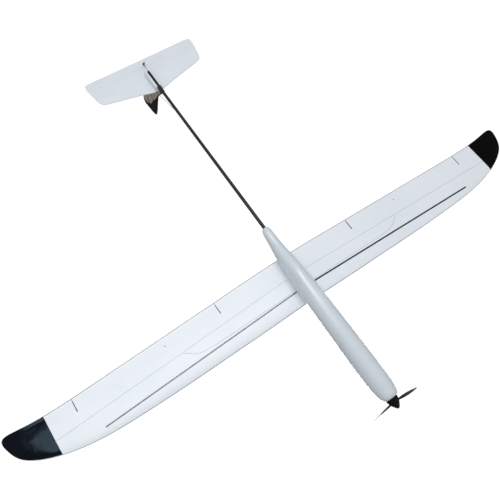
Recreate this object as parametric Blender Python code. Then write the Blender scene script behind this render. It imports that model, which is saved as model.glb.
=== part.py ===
"""Electric hand-launch glider, 1.5 m span: high wing, slim pod, carbon boom, folding propeller.

Metres. +Z up, nose towards -Y, port wing towards +X. The origin is under the middle of the
model, level with the belly. Everything sits on the plane of symmetry x = 0.
"""
import math

import bmesh
import bpy
import numpy as np
from mathutils import Vector

# ---------------------------------------------------------------- driving dimensions
GAP = 0.0003            # air between neighbouring pieces
EDGE_HALF = 0.0004      # least half thickness of a trailing edge

# wing
HALF_SPAN = 0.750
WING_Z = 0.062          # height of the chord plane above the belly
WING_LE = [(0.0, -0.2675), (0.150, -0.2696), (0.205, -0.2696), (0.345, -0.2704), (0.490, -0.2678),
           (0.553, -0.2641), (0.6045, -0.2570), (0.654, -0.2450), (0.685, -0.2334), (0.708, -0.2214),
           (0.726, -0.2080), (0.738, -0.1925), (0.7455, -0.1745), (0.7490, -0.1630), (HALF_SPAN, -0.1585)]
WING_TE = [(0.0, -0.1357), (0.205, -0.1404), (0.400, -0.1458), (0.500, -0.1484), (0.590, -0.1506),
           (0.654, -0.1502), (0.690, -0.1478), (0.715, -0.1449), (0.730, -0.1434), (0.7400, -0.1437),
           (0.7465, -0.1465), (0.7491, -0.1503), (HALF_SPAN, -0.1540)]
WING_THICKNESS = 0.080
WING_CAMBER = 0.018
TIP_START = 0.654       # black tip begins here
SPAR_ROOT = (0.019, -0.2305)
SPAR_END = (0.5528, -0.2462)
SPAR_WIDTH = 0.0048
SPAR_DEPTH = 0.0007
SPAR_TAPER = 0.0008                 # the strip's half width lost towards its outer end
WING_BOLT_Y = (-0.2480, -0.1680)
WING_BOLT_R, WING_BOLT_HEAD_R = 0.0015, 0.0033
WING_BOLT_HOLE_R = 0.0018
WING_BOLT_FOOT_Z = 0.0500

# ailerons
AILERON_IN = (0.2049, -0.1723)      # hinge line, inner end
AILERON_OUT = (0.5883, -0.1835)     # hinge line, outer end
AILERON_Z = 0.0611
AILERON_BEVEL = math.radians(23)
AILERON_END_GAP = 0.0010
AILERON_LEVER_X = 0.3560
AILERON_LEVER = 0.0100              # horn and servo arm length
HORN_PIN_BACK = 0.0110              # from the hinge line to the horn's pin
HORN_PIN_R, HORN_HOLE_R = 0.0013, 0.0017
LEVER_EYE_R = 0.0009
WING_SERVO = (0.0180, 0.0200, 0.0068)
WING_SERVO_PIVOT = (-0.2000, 0.0645)
WING_SERVO_FACE_X = AILERON_LEVER_X - 0.0045
WING_SERVO_FRONT, WING_SERVO_REAR = 0.0150, 0.0050      # from the pivot to the case's ends
WING_ARM_SLOT = (0.0075, 0.0036)    # half length, depth below the pivot
WING_TOP_CLEAR = 0.0750             # above every point of the wing

# pod: station y, half width, half height, centre height
THRUST_Z = 0.0215
POD = [(-0.5512, 0.0158, 0.0152, 0.0215), (-0.5485, 0.0190, 0.0178, 0.0215),
       (-0.5410, 0.0226, 0.0208, 0.0216), (-0.5300, 0.0247, 0.0228, 0.0230),
       (-0.5080, 0.0265, 0.0250, 0.0250), (-0.4770, 0.0270, 0.0265, 0.0265),
       (-0.4060, 0.0267, 0.0275, 0.0275), (-0.3300, 0.0253, 0.0282, 0.0282),
       (-0.2820, 0.0244, 0.0292, 0.0292), (-0.2370, 0.0238, 0.0305, 0.0305),
       (-0.2000, 0.0220, 0.0305, 0.0305), (-0.1600, 0.0194, 0.0282, 0.0328),
       (-0.1300, 0.0167, 0.0215, 0.0335), (-0.0950, 0.0135, 0.0150, 0.0285),
       (-0.0680, 0.0112, 0.0115, 0.0245), (-0.0610, 0.0088, 0.0090, 0.0235),
       (-0.0585, 0.0060, 0.0060, 0.0234)]
POD_WALL = 0.0011
POD_SIDES = 20
HATCH_FRONT, HATCH_REAR, HATCH_SILL = -0.495, -0.292, 0.0400
POD_CAVITY = (-0.5493, -0.0640)
POD_NOSE_HOLE_R = 0.0125
FIREWALL = (-0.5489, -0.5474, 0.0158)           # front, rear, radius
FIREWALL_BORE_R = 0.0032
MOTOR_SCREW_X, MOTOR_SCREW_HOLE_R = 0.0070, 0.0012
WING_BLOCK = ((-0.0085, -0.2560, 0.0520), (0.0085, -0.1600, 0.0550))
FORMER_Y = (-0.1130, -0.1100)
BATTERY = ((-0.0145, -0.5180, 0.0100), (0.0145, -0.4560, 0.0270))
STRAP_Y, STRAP_GAP, STRAP_WALL = (-0.4950, -0.4790), 0.0003, 0.0007
SPEED_CONTROLLER = ((-0.0100, -0.4450, 0.0120), (0.0100, -0.4130, 0.0190))
RECEIVER = ((-0.0110, -0.3900, 0.0100), (0.0110, -0.3560, 0.0190))
MAGNET_R, MAGNET_HEIGHT, MAGNET_INSET = 0.0025, 0.0025, 0.0040

# tail boom
BOOM_Z = 0.0234
BOOM_FRONT, BOOM_REAR = -0.125, 0.510
BOOM_R_FRONT, BOOM_R_REAR, BOOM_BORE = 0.0045, 0.0041, 0.0034
ROD_X, ROD_Z, ROD_R = 0.0015, 0.0226, 0.0005
ROD_EXIT = (0.354, 0.380)           # slot in the boom for the rudder rod
ROD_EXIT_X = (0.0006, 0.0038)
CLAMP_Y, CLAMP_R = (0.4290, 0.4490), 0.0057

# tailplane and elevator
STAB_Z = 0.0414
STAB_LE = [(0.0, 0.4509), (0.050, 0.4625), (0.100, 0.4742), (0.1450, 0.4848), (0.1550, 0.4895),
           (0.1605, 0.4985), (0.1640, 0.5110), (0.1680, 0.5360), (0.1705, 0.5480)]
STAB_TE = [(0.0, 0.5708), (0.1580, 0.5708), (0.1655, 0.5695), (0.1695, 0.5655), (0.1705, 0.5590)]
STAB_STATIONS = [0.0, 0.050, 0.100, 0.1450, 0.1550, 0.1605, 0.1640, 0.1680, 0.1695, 0.1704]
STAB_THICKNESS = 0.036
ELEVATOR_Y, ELEVATOR_Z = 0.5430, 0.0407
ELEVATOR_BEVEL = math.radians(18)
ELEVATOR_HORN_X = 0.0060            # the horn stands to starboard
HORN_SHEET = 0.0012
PYLON_Y, PYLON_Z, PYLON_HALF = (0.4520, 0.5150), (0.0206, 0.0388), 0.0100
PYLON_CORNER = 0.0025

# fin and rudder
FIN_LE = [(0.0295, 0.4290), (0.0440, 0.4402), (0.0730, 0.4600), (0.0840, 0.4650), (0.1400, 0.4790),
          (0.1908, 0.4921), (0.2050, 0.5000), (0.2134, 0.5108), (0.2185, 0.5400), (0.2225, 0.5640)]
FIN_TE = [(0.0445, 0.5750), (0.0600, 0.5765), (0.2100, 0.5786), (0.2185, 0.5780), (0.2225, 0.5750)]
FIN_THICKNESS = 0.0046
RUDDER_FOOT = 0.0560                # underside of the rudder, clear of the raised elevator
RUDDER_AXIS = ((0.5400, 0.0500), (0.5500, 0.2200))
RUDDER_BEVEL = math.radians(25)
RUDDER_HORN_Z = 0.0800
RUDDER_LEVER = 0.0085

# servos in the pod
POD_SERVO = (0.0080, 0.0200, 0.0180)
POD_SERVO_X = 0.0115
POD_SERVO_FOOT_Z = 0.0262
POD_SERVO_EARS = (0.0042, 0.0322, 0.0336)       # reach, lower side, upper side
ELEVATOR_SERVO_Y, RUDDER_SERVO_Y = -0.2300, -0.2640
SHAFT_AHEAD = 0.0050                # output shaft ahead of the case's middle
ARM_LENGTH = 0.0100
ARM_Z, ARM_SHEET = 0.0240, 0.0012
ARM_EYE_R = 0.0019                  # oversize, for the rod's bent end
SERVO_TRAY = ((-0.0190, -0.2830, 0.0298), (0.0190, -0.2100, 0.0318))
SERVO_SIDE = {"elevator": -1, "rudder": 1}

# propeller
SPINNER_BASE_Y, SPINNER_TIP_Y, SPINNER_R = -0.5518, -0.5787, 0.0147
BLADE_PIN = (0.0090, -0.5626)
BLADE_CONE = math.radians(5)
BLADE = [  # distance from the pin, chord, thickness, pitch in degrees
    (0.0020, 0.0044, 0.0026, 90), (0.0050, 0.0044, 0.0026, 80), (0.0075, 0.0056, 0.0024, 60),
    (0.0120, 0.0085, 0.0020, 38), (0.0200, 0.0132, 0.0017, 26), (0.0300, 0.0158, 0.0014, 20),
    (0.0410, 0.0148, 0.0011, 16), (0.0490, 0.0110, 0.0009, 14), (0.0545, 0.0056, 0.0007, 13)]
SHAFT_R, SHAFT_BORE_R, PIN_R, EYE_R = 0.0010, 0.0013, 0.0010, 0.0013
YOKE = (0.0118, 0.0032, 0.0038)     # half sizes of the cross bar
LUG_R, LUG_HALF, LUG_SLOT_HALF = 0.0030, 0.0014, 0.0018

WHITE = (0.86, 0.88, 0.91)
BLACK = (0.012, 0.012, 0.013)
CARBON = (0.020, 0.020, 0.022)
BROWN = (0.085, 0.065, 0.055)
STEEL = (0.55, 0.55, 0.56)
PLY = (0.62, 0.46, 0.28)
FILM_LOOK, GEL_LOOK = (WHITE, 0.35), (WHITE, 0.12)
NYLON_LOOK, HORN_LOOK = ((0.80, 0.80, 0.78), 0.5), ((0.03, 0.03, 0.03), 0.5)
STEEL_LOOK, PLY_LOOK, CASE_LOOK = (STEEL, 0.3, 1.0), (PLY, 0.7), ((0.05, 0.05, 0.06), 0.45)


# ---------------------------------------------------------------- mesh helpers
def clear_scene():
    for obj in list(bpy.data.objects):
        bpy.data.objects.remove(obj, do_unlink=True)


def material(name, color, roughness, metallic=0.0):
    mat = bpy.data.materials.new(name)
    mat.use_nodes = True
    shader = mat.node_tree.nodes["Principled BSDF"]
    shader.inputs["Base Color"].default_value = (*color, 1.0)
    shader.inputs["Roughness"].default_value = roughness
    shader.inputs["Metallic"].default_value = metallic
    return mat


def add_object(name, mesh, look=None):
    obj = bpy.data.objects.new(name, mesh)
    bpy.context.scene.collection.objects.link(obj)
    if look:
        mesh.materials.append(material(name, *look))
    return obj


def solid(name, verts, faces, look=None):
    """A closed mesh with its faces turned outwards."""
    mesh = bpy.data.meshes.new(name)
    mesh.from_pydata([tuple(v) for v in verts], [], faces)
    bm = bmesh.new()
    bm.from_mesh(mesh)
    bmesh.ops.recalc_face_normals(bm, faces=bm.faces)
    bm.to_mesh(mesh)
    bm.free()
    mesh.shade_smooth()
    mesh.set_sharp_from_angle(angle=math.radians(35))
    return add_object(name, mesh, look)


def loft(name, rings, look=None):
    """Skin over rings of equally many points, closed by a cap at each end."""
    count = len(rings[0])
    verts = [point for ring in rings for point in ring]
    faces = [tuple(range(count)), tuple(range(len(verts) - count, len(verts)))]
    for level in range(len(rings) - 1):
        base = level * count
        for k in range(count):
            after = (k + 1) % count
            faces.append((base + k, base + after, base + count + after, base + count + k))
    return solid(name, verts, faces, look)


def prism(name, outline, place, low, high, look=None):
    """A flat outline of (u, v) points drawn out from low to high; place(u, v, w) gives the point."""
    rings = [[place(u, v, w) for u, v in outline] for w in (low, high)]
    return loft(name, rings, look)


def box(name, low, high, look=None):
    outline = [(low[0], low[1]), (high[0], low[1]), (high[0], high[1]), (low[0], high[1])]
    return prism(name, outline, lambda u, v, w: (u, v, w), low[2], high[2], look)


def circle(center, direction, radius, sides):
    """Ring of points around a centre, square to a direction."""
    axis = Vector(direction).normalized()
    side = axis.orthogonal().normalized()
    other = axis.cross(side)
    angles = [2 * math.pi * k / sides for k in range(sides)]
    return [Vector(center) + radius * (side * math.cos(a) + other * math.sin(a)) for a in angles]


def rod(name, start, end, radius, look=None, sides=12, end_radius=None):
    direction = Vector(end) - Vector(start)
    last = radius if end_radius is None else end_radius
    rings = [circle(start, direction, radius, sides), circle(end, direction, last, sides)]
    return loft(name, rings, look)


def turned(name, profile, center_z, look=None, sides=24):
    """Round body about the Y axis; profile is a list of (y, radius) from one end to the other."""
    rings = [circle((0, y, center_z), (0, 1, 0), radius, sides) for y, radius in profile]
    return loft(name, rings, look)


def bent_wire(name, points, radius, look=None, sides=8):
    """Wire of round section through a list of points, mitred at each bend."""
    points = [Vector(p) for p in points]
    rings = []
    side = None
    for k, point in enumerate(points):
        before = (point - points[k - 1]).normalized() if k else None
        after = (points[k + 1] - point).normalized() if k < len(points) - 1 else None
        tangent = ((before or after) + (after or before)).normalized()
        stretch = 1.0 / max(0.5, tangent.dot(before or after))
        if side is None:
            side = tangent.orthogonal().normalized()
        side = (side - tangent * side.dot(tangent)).normalized()
        other = tangent.cross(side)
        bend = (before - after) if before and after else Vector((0, 0, 0))
        wide = bend.normalized() if bend.length > 1e-6 else None
        ring = []
        for j in range(sides):
            angle = 2 * math.pi * j / sides
            offset = side * math.cos(angle) + other * math.sin(angle)
            if wide:
                offset += wide * offset.dot(wide) * (stretch - 1.0)
            ring.append(point + radius * offset)
        rings.append(ring)
    return loft(name, rings, look)


def combine(obj, tool, operation):
    """Boolean with a helper that is left out of the model."""
    tool.hide_render = True
    tool.display_type = 'WIRE'
    mod = obj.modifiers.new(tool.name, 'BOOLEAN')
    mod.operation = operation
    mod.solver = 'EXACT'
    mod.object = tool
    return obj


def cut(obj, tool):
    return combine(obj, tool, 'DIFFERENCE')


def weld(obj, tool):
    return combine(obj, tool, 'UNION')


def keep(obj, tool):
    return combine(obj, tool, 'INTERSECT')


# ---------------------------------------------------------------- wing section and planform
def along(table, x):
    return float(np.interp(x, [p[0] for p in table], [p[1] for p in table]))


def half_thickness(f, thickness):
    """Half thickness of the section at fraction f of the chord."""
    shape = 0.2969 * math.sqrt(f) - 0.1260 * f - 0.3516 * f ** 2 + 0.2843 * f ** 3 - 0.1036 * f ** 4
    return 5 * thickness * shape


def camber_line(f, camber, peak=0.4):
    if f < peak:
        return camber / peak ** 2 * (2 * peak * f - f ** 2)
    return camber / (1 - peak) ** 2 * (1 - 2 * peak + 2 * peak * f - f ** 2)


def section(le, te, thickness, camber, count=10):
    """Closed section as (y, z) offsets: back along the top, forward along the bottom."""
    chord = te - le
    fractions = [0.5 * (1 - math.cos(math.pi * k / count)) for k in range(count + 1)]
    upper, lower = [], []
    for f in fractions:
        half = max(half_thickness(f, thickness) * chord, EDGE_HALF if f > 0.05 else 0.0)
        middle = camber_line(f, camber) * chord
        upper.append((le + f * chord, middle + half))
        lower.append((le + f * chord, middle - half))
    return upper + lower[:0:-1]


def wing_surface(x, y, side):
    """Height of the wing's upper (+1) or lower (-1) surface at a point of the plan."""
    le, te = along(WING_LE, abs(x)), along(WING_TE, abs(x))
    f = min(max((y - le) / (te - le), 0.0), 1.0)
    half = max(half_thickness(f, WING_THICKNESS) * (te - le), EDGE_HALF)
    return WING_Z + camber_line(f, WING_CAMBER) * (te - le) + side * half


def wing_rings(stations):
    rings = []
    for x in stations:
        le, te = along(WING_LE, abs(x)), along(WING_TE, abs(x))
        rings.append([(x, y, WING_Z + z) for y, z in section(le, te, WING_THICKNESS, WING_CAMBER)])
    return rings


def hinge_y(x):
    """The aileron's hinge line."""
    slope = (AILERON_OUT[1] - AILERON_IN[1]) / (AILERON_OUT[0] - AILERON_IN[0])
    return AILERON_IN[1] + slope * (abs(x) - AILERON_IN[0])


def aileron_block(name, sign, clear, lean, front):
    """Block behind the hinge line; its front face leans back above the hinge axis."""
    x_in, x_out = AILERON_IN[0] - clear, AILERON_OUT[0] + clear
    low, high, rear = AILERON_Z - 0.012, AILERON_Z + 0.012, -0.125
    leaned = math.tan(lean) * (high - AILERON_Z)
    ends = []
    for x in (x_in, x_out):
        y = hinge_y(x) + front
        ends.append([(sign * x, y, low), (sign * x, y, AILERON_Z), (sign * x, y + leaned, high),
                     (sign * x, rear, high), (sign * x, rear, low)])
    return loft(name, ends)


def make_wing():
    inner = [0.0, 0.05, 0.11, 0.205, 0.30, 0.39, 0.49, 0.553, 0.6045, TIP_START - GAP / 2]
    stations = [-x for x in reversed(inner)] + inner[1:]
    wing = loft("wing", wing_rings(stations), FILM_LOOK)
    y, z = WING_SERVO_PIVOT
    for sign, side in ((1, "left"), (-1, "right")):
        cut(wing, aileron_block("aileron_bay_" + side, sign, AILERON_END_GAP, 0.0, -GAP / 2))
        cut(wing, spar_strip("spar_groove_" + side, sign, SPAR_WIDTH / 2 + GAP, SPAR_DEPTH + GAP, 0.002, GAP))
        bay_x = sorted((sign * (WING_SERVO_FACE_X - WING_SERVO[0] - GAP), sign * (WING_SERVO_FACE_X + GAP)))
        cut(wing, box("servo_bay_" + side,
                      (bay_x[0], y - WING_SERVO_FRONT - GAP, z - WING_SERVO[2] / 2 - GAP),
                      (bay_x[1], y + WING_SERVO_REAR + GAP, WING_TOP_CLEAR)))
        slot_x = sorted((sign * WING_SERVO_FACE_X, sign * (AILERON_LEVER_X + 0.0002)))
        reach, depth = WING_ARM_SLOT
        cut(wing, box("arm_slot_" + side, (slot_x[0], y - reach, z - depth),
                      (slot_x[1], y + reach, WING_TOP_CLEAR)))
    for k, bolt_y in enumerate(WING_BOLT_Y):
        cut(wing, rod("wing_bolt_hole_%d" % k, (0, bolt_y, WING_BOLT_FOOT_Z), (0, bolt_y, WING_TOP_CLEAR),
                      WING_BOLT_HOLE_R))
    for sign, side in ((1, "left"), (-1, "right")):
        outer = [TIP_START + GAP / 2, 0.668, 0.685, 0.700, 0.714, 0.726, 0.734, 0.740, 0.7455, 0.7482,
                 HALF_SPAN - 0.0003]
        loft("wing_tip_" + side, wing_rings([sign * x for x in outer]), (BLACK, 0.12))
        spar_strip("spar_" + side, sign, SPAR_WIDTH / 2, SPAR_DEPTH, 0.0, 0.0, (CARBON, 0.3))


def spar_strip(name, sign, half_width, depth, below, longer, look=None):
    """Carbon strip let into the wing's lower surface, thinning towards its outer end."""
    rings = []
    for k in range(9):
        t = k / 8
        x = SPAR_ROOT[0] + t * (SPAR_END[0] - SPAR_ROOT[0]) + longer * (2 * t - 1)
        y = SPAR_ROOT[1] + t * (SPAR_END[1] - SPAR_ROOT[1])
        w = half_width - SPAR_TAPER * t
        front, rear = wing_surface(x, y - w, -1), wing_surface(x, y + w, -1)
        rings.append([(sign * x, y - w, front - below), (sign * x, y + w, rear - below),
                      (sign * x, y + w, rear + depth), (sign * x, y - w, front + depth)])
    return loft(name, rings, look)


def make_wing_bolts():
    for end, y in zip(("front", "rear"), WING_BOLT_Y):
        top = wing_surface(0.0, y, 1)
        bolt = rod("wing_bolt_" + end, (0, y, WING_BOLT_FOOT_Z), (0, y, top + 0.0020), WING_BOLT_R,
                   NYLON_LOOK)
        weld(bolt, rod("wing_bolt_head_" + end, (0, y, top + 0.0014), (0, y, top + 0.0036), WING_BOLT_HEAD_R,
                       sides=16))


# ---------------------------------------------------------------- ailerons and their drive
def make_aileron(sign, side):
    stations = [sign * x for x in (0.19, 0.205, 0.30, 0.39, 0.49, 0.553, 0.60)]
    aileron = loft("aileron_" + side, wing_rings(stations), FILM_LOOK)
    keep(aileron, aileron_block("aileron_cut_" + side, sign, 0.0, AILERON_BEVEL, GAP / 2))
    x, y = sign * (AILERON_LEVER_X + 0.0001), hinge_y(AILERON_LEVER_X) + HORN_PIN_BACK
    cut(aileron, rod("horn_hole_" + side, (x, y, WING_Z - 0.007), (x, y, WING_Z + 0.010), HORN_HOLE_R))

    # horn: a pin through the aileron that carries an upright lever with its hole over the hinge line
    bottom, top = wing_surface(x, y, -1), wing_surface(x, y, 1)
    foot_y = hinge_y(AILERON_LEVER_X) + 0.0025
    hole = (hinge_y(AILERON_LEVER_X), AILERON_Z + AILERON_LEVER)
    lever = [(y + 0.0030, top + 0.0006), (y + 0.0030, top + 0.0016), (hole[0] + 0.0020, hole[1] + 0.0012),
             (hole[0] + 0.0010, hole[1] + 0.0019), (hole[0] - 0.0010, hole[1] + 0.0019),
             (hole[0] - 0.0019, hole[1] + 0.0008), (hole[0] - 0.0017, hole[1] - 0.0012),
             (foot_y + 0.0010, wing_surface(x, foot_y, 1) + 0.0014)]
    low = AILERON_LEVER_X - 0.0004
    horn = prism("aileron_horn_" + side, lever, lambda u, v, w: (sign * w, u, v), low, low + HORN_SHEET,
                 HORN_LOOK)
    weld(horn, rod("horn_pin_" + side, (x, y, bottom - 0.0003), (x, y, top + 0.0012), HORN_PIN_R))
    cut(horn, rod("horn_eye_" + side, (sign * (low - 0.005), *hole), (sign * (low + 0.005), *hole),
                  LEVER_EYE_R))


def make_aileron_drive(sign, side):
    size, (y, z), face = WING_SERVO, WING_SERVO_PIVOT, WING_SERVO_FACE_X
    case_x = sorted((sign * (face - size[0]), sign * face))
    servo = box("aileron_servo_" + side, (case_x[0], y - WING_SERVO_FRONT, z - size[2] / 2),
                (case_x[1], y + WING_SERVO_REAR, z + size[2] / 2), CASE_LOOK)
    weld(servo, rod("wing_servo_spline_" + side, (sign * (face - 0.001), y, z),
                    (sign * (face + 0.0018), y, z), 0.0016))

    arm_x = (face + 0.0009, face + 0.0009 + ARM_SHEET)
    eye = (y, z + AILERON_LEVER)
    outline = [(y - 0.0027, z - 0.0016), (y, z - 0.0031), (y + 0.0027, z - 0.0016),
               (eye[0] + 0.0017, eye[1]), (eye[0] + 0.0010, eye[1] + 0.0016),
               (eye[0] - 0.0010, eye[1] + 0.0016), (eye[0] - 0.0017, eye[1])]
    arm = prism("aileron_arm_" + side, outline, lambda u, v, w: (sign * w, u, v), *arm_x, NYLON_LOOK)
    ends = (sign * (face - 0.001), sign * (face + 0.004))
    cut(arm, rod("arm_spline_hole_" + side, (ends[0], y, z), (ends[1], y, z), 0.0019))
    cut(arm, rod("arm_eye_" + side, (ends[0], *eye), (ends[1], *eye), LEVER_EYE_R))

    wire_x = face + 0.0031
    far = (hinge_y(AILERON_LEVER_X), AILERON_Z + AILERON_LEVER)
    bent_wire("aileron_rod_" + side,
              [(sign * (arm_x[0] - 0.0004), *eye), (sign * wire_x, *eye), (sign * wire_x, *far),
               (sign * (AILERON_LEVER_X + 0.0012), *far)], ROD_R * 0.9, STEEL_LOOK)


# ---------------------------------------------------------------- pod
def pod_rings(shrink, first=None, last=None):
    """Rings of the pod, drawn in by the wall; the flat bottom side lies on the ellipse."""
    ys = [row[0] for row in POD]
    low = ys[0] if first is None else first
    high = ys[-1] if last is None else last
    stations = [low] + [y for y in ys if low < y < high] + [high]
    rings = []
    for y in stations:
        a, b, c = (along([(row[0], row[k]) for row in POD], y) for k in (1, 2, 3))
        spread = 1 / math.cos(math.pi / POD_SIDES)
        ring = []
        for k in range(POD_SIDES):
            angle = 2 * math.pi * (k + 0.5) / POD_SIDES
            across, down = (a - shrink) * spread, (b - shrink) * spread
            ring.append((across * math.sin(angle), y, c - down * math.cos(angle)))
        rings.append(ring)
    return rings


def hatch_block(name, clear):
    return box(name, (-0.04, HATCH_FRONT + clear, HATCH_SILL + clear), (0.04, HATCH_REAR - clear, 0.09))


def make_pod():
    shell = loft("pod_shell", pod_rings(0.0), GEL_LOOK)
    cut(shell, loft("pod_cavity", pod_rings(POD_WALL, *POD_CAVITY)))
    cut(shell, rod("nose_hole", (0, -0.556, THRUST_Z), (0, -0.545, THRUST_Z), POD_NOSE_HOLE_R, sides=20))
    cut(shell, rod("tail_hole", (0, -0.070, BOOM_Z), (0, -0.050, BOOM_Z), BOOM_R_FRONT + GAP, sides=16))
    cut(shell, hatch_block("hatch_opening", 0.0))
    cut(shell, loft("wing_saddle", saddle_rings()))
    for k, y in enumerate(WING_BOLT_Y):
        cut(shell, rod("pod_bolt_hole_%d" % k, (0, y, 0.050), (0, y, 0.070), 0.0019))

    hatch = loft("hatch", pod_rings(0.0), GEL_LOOK)
    cut(hatch, loft("hatch_inside", pod_rings(POD_WALL, *POD_CAVITY)))
    keep(hatch, hatch_block("hatch_limits", GAP))


def saddle_rings():
    """The wing's lower surface with everything above it, as a cutter for the pod's top."""
    rings = []
    for x in (-0.05, 0.05):
        le, te = along(WING_LE, 0.0), along(WING_TE, 0.0)
        bottom = [(le - 0.0010, WING_Z)]
        for f in (0.01, 0.05, 0.12, 0.25, 0.4, 0.6, 0.8, 1.0):
            y = le + f * (te - le)
            bottom.append((y, wing_surface(0.0, y, -1) - GAP - 0.0001))
        bottom += [(te + 0.0010, WING_Z - 0.0010), (te + 0.0010, 0.09), (le - 0.0010, 0.09)]
        rings.append([(x, y, z) for y, z in bottom])
    return rings


def make_pod_fittings():
    front, rear, radius = FIREWALL
    firewall = rod("firewall", (0, front, THRUST_Z), (0, rear, THRUST_Z), radius, ((0.05, 0.05, 0.05), 0.5),
                   sides=24)
    ahead, behind = front - 0.003, rear + 0.003
    cut(firewall, rod("firewall_bore", (0, ahead, THRUST_Z), (0, behind, THRUST_Z), FIREWALL_BORE_R,
                      sides=16))
    for side, x in (("left", MOTOR_SCREW_X), ("right", -MOTOR_SCREW_X)):
        cut(firewall, rod("firewall_screw_hole_" + side, (x, ahead, THRUST_Z), (x, behind, THRUST_Z),
                          MOTOR_SCREW_HOLE_R))
        screw = rod("motor_screw_" + side, (x, -0.5500, THRUST_Z), (x, -0.5462, THRUST_Z), 0.0009, STEEL_LOOK)
        weld(screw, rod("motor_screw_head_" + side, (x, -0.5505, THRUST_Z), (x, -0.5492, THRUST_Z), 0.0018))

    block = box("wing_block", *WING_BLOCK, PLY_LOOK)
    for k, y in enumerate(WING_BOLT_Y):
        cut(block, rod("block_bolt_hole_%d" % k, (0, y, 0.045), (0, y, 0.070), WING_BOLT_HOLE_R))
    former = loft("boom_former", pod_rings(POD_WALL + GAP, *FORMER_Y), PLY_LOOK)
    cut(former, rod("former_bore", (0, FORMER_Y[0] - 0.01, BOOM_Z), (0, FORMER_Y[1] + 0.01, BOOM_Z),
                    BOOM_R_FRONT + GAP, sides=16))

    tray = box("servo_tray", *SERVO_TRAY, PLY_LOOK)
    for name, y in (("elevator", ELEVATOR_SERVO_Y), ("rudder", RUDDER_SERVO_Y)):
        reach = (POD_SERVO[0] / 2 + 0.0005, POD_SERVO[1] / 2 + 0.0005)
        x = SERVO_SIDE[name] * POD_SERVO_X
        cut(tray, box("servo_window_" + name, (x - reach[0], y - reach[1], 0.028),
                      (x + reach[0], y + reach[1], 0.034)))

    bevel(box("battery", *BATTERY, ((0.03, 0.10, 0.30), 0.4)), 0.0015)
    low, high = BATTERY
    inner = ((low[0] - STRAP_GAP, low[2] - STRAP_GAP), (high[0] + STRAP_GAP, high[2] + STRAP_GAP))
    strap = box("battery_strap", (inner[0][0] - STRAP_WALL, STRAP_Y[0], inner[0][1] - STRAP_WALL),
                (inner[1][0] + STRAP_WALL, STRAP_Y[1], inner[1][1] + STRAP_WALL), ((0.03, 0.03, 0.03), 0.9))
    cut(strap, box("strap_inside", (inner[0][0], STRAP_Y[0] - 0.002, inner[0][1]),
                   (inner[1][0], STRAP_Y[1] + 0.002, inner[1][1])))
    bevel(box("speed_controller", *SPEED_CONTROLLER, ((0.02, 0.02, 0.02), 0.5)), 0.001)
    bevel(box("receiver", *RECEIVER, ((0.10, 0.10, 0.11), 0.5)), 0.001)
    for end, y in (("front", HATCH_FRONT - MAGNET_INSET), ("rear", HATCH_REAR + MAGNET_INSET)):
        roof = sum(along([(row[0], row[k]) for row in POD], y) for k in (2, 3)) - POD_WALL - 2 * GAP
        rod("hatch_magnet_" + end, (0, y, roof - MAGNET_HEIGHT), (0, y, roof), MAGNET_R, (STEEL, 0.25, 1.0))


def bevel(obj, width):
    mod = obj.modifiers.new("edges", 'BEVEL')
    mod.width = width
    mod.segments = 1
    mod.limit_method = 'ANGLE'


def make_pod_servo(name, sign, y_center, shaft_y):
    """Micro servo hung in the pod with its output shaft pointing down."""
    width, length, height = POD_SERVO
    x, foot = sign * POD_SERVO_X, POD_SERVO_FOOT_Z
    servo = box(name, (x - width / 2, y_center - length / 2, foot),
                (x + width / 2, y_center + length / 2, foot + height), CASE_LOOK)
    reach, low, high = POD_SERVO_EARS
    weld(servo, box(name + "_ears", (x - width / 2, y_center - length / 2 - reach, low),
                    (x + width / 2, y_center + length / 2 + reach, high)))
    weld(servo, rod(name + "_spline", (x, shaft_y, ARM_Z - 0.0004), (x, shaft_y, foot + 0.001), 0.0017))


def make_pod_arm(name, sign, shaft_y):
    """Servo arm that points at the centreline, with an oversize eye for the rod's bent end."""
    x = sign * POD_SERVO_X
    eye = x - sign * ARM_LENGTH
    outline = [(x + sign * 0.0026, shaft_y - 0.0022), (x + sign * 0.0034, shaft_y),
               (x + sign * 0.0026, shaft_y + 0.0022), (eye, shaft_y + 0.0029),
               (eye - sign * 0.0023, shaft_y + 0.0019), (eye - sign * 0.0029, shaft_y),
               (eye - sign * 0.0023, shaft_y - 0.0019), (eye, shaft_y - 0.0029)]
    arm = prism(name, outline, lambda u, v, w: (u, v, w), ARM_Z, ARM_Z + ARM_SHEET, NYLON_LOOK)
    low, high = ARM_Z - 0.004, ARM_Z + 0.004
    cut(arm, rod(name + "_bore", (x, shaft_y, low), (x, shaft_y, high), 0.0020))
    cut(arm, rod(name + "_eye", (eye, shaft_y, low), (eye, shaft_y, high), ARM_EYE_R, sides=16))


def axis_y(z):
    """The rudder's hinge axis."""
    foot, top = RUDDER_AXIS
    return foot[0] + (z - foot[1]) / (top[1] - foot[1]) * (top[0] - foot[0])


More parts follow.
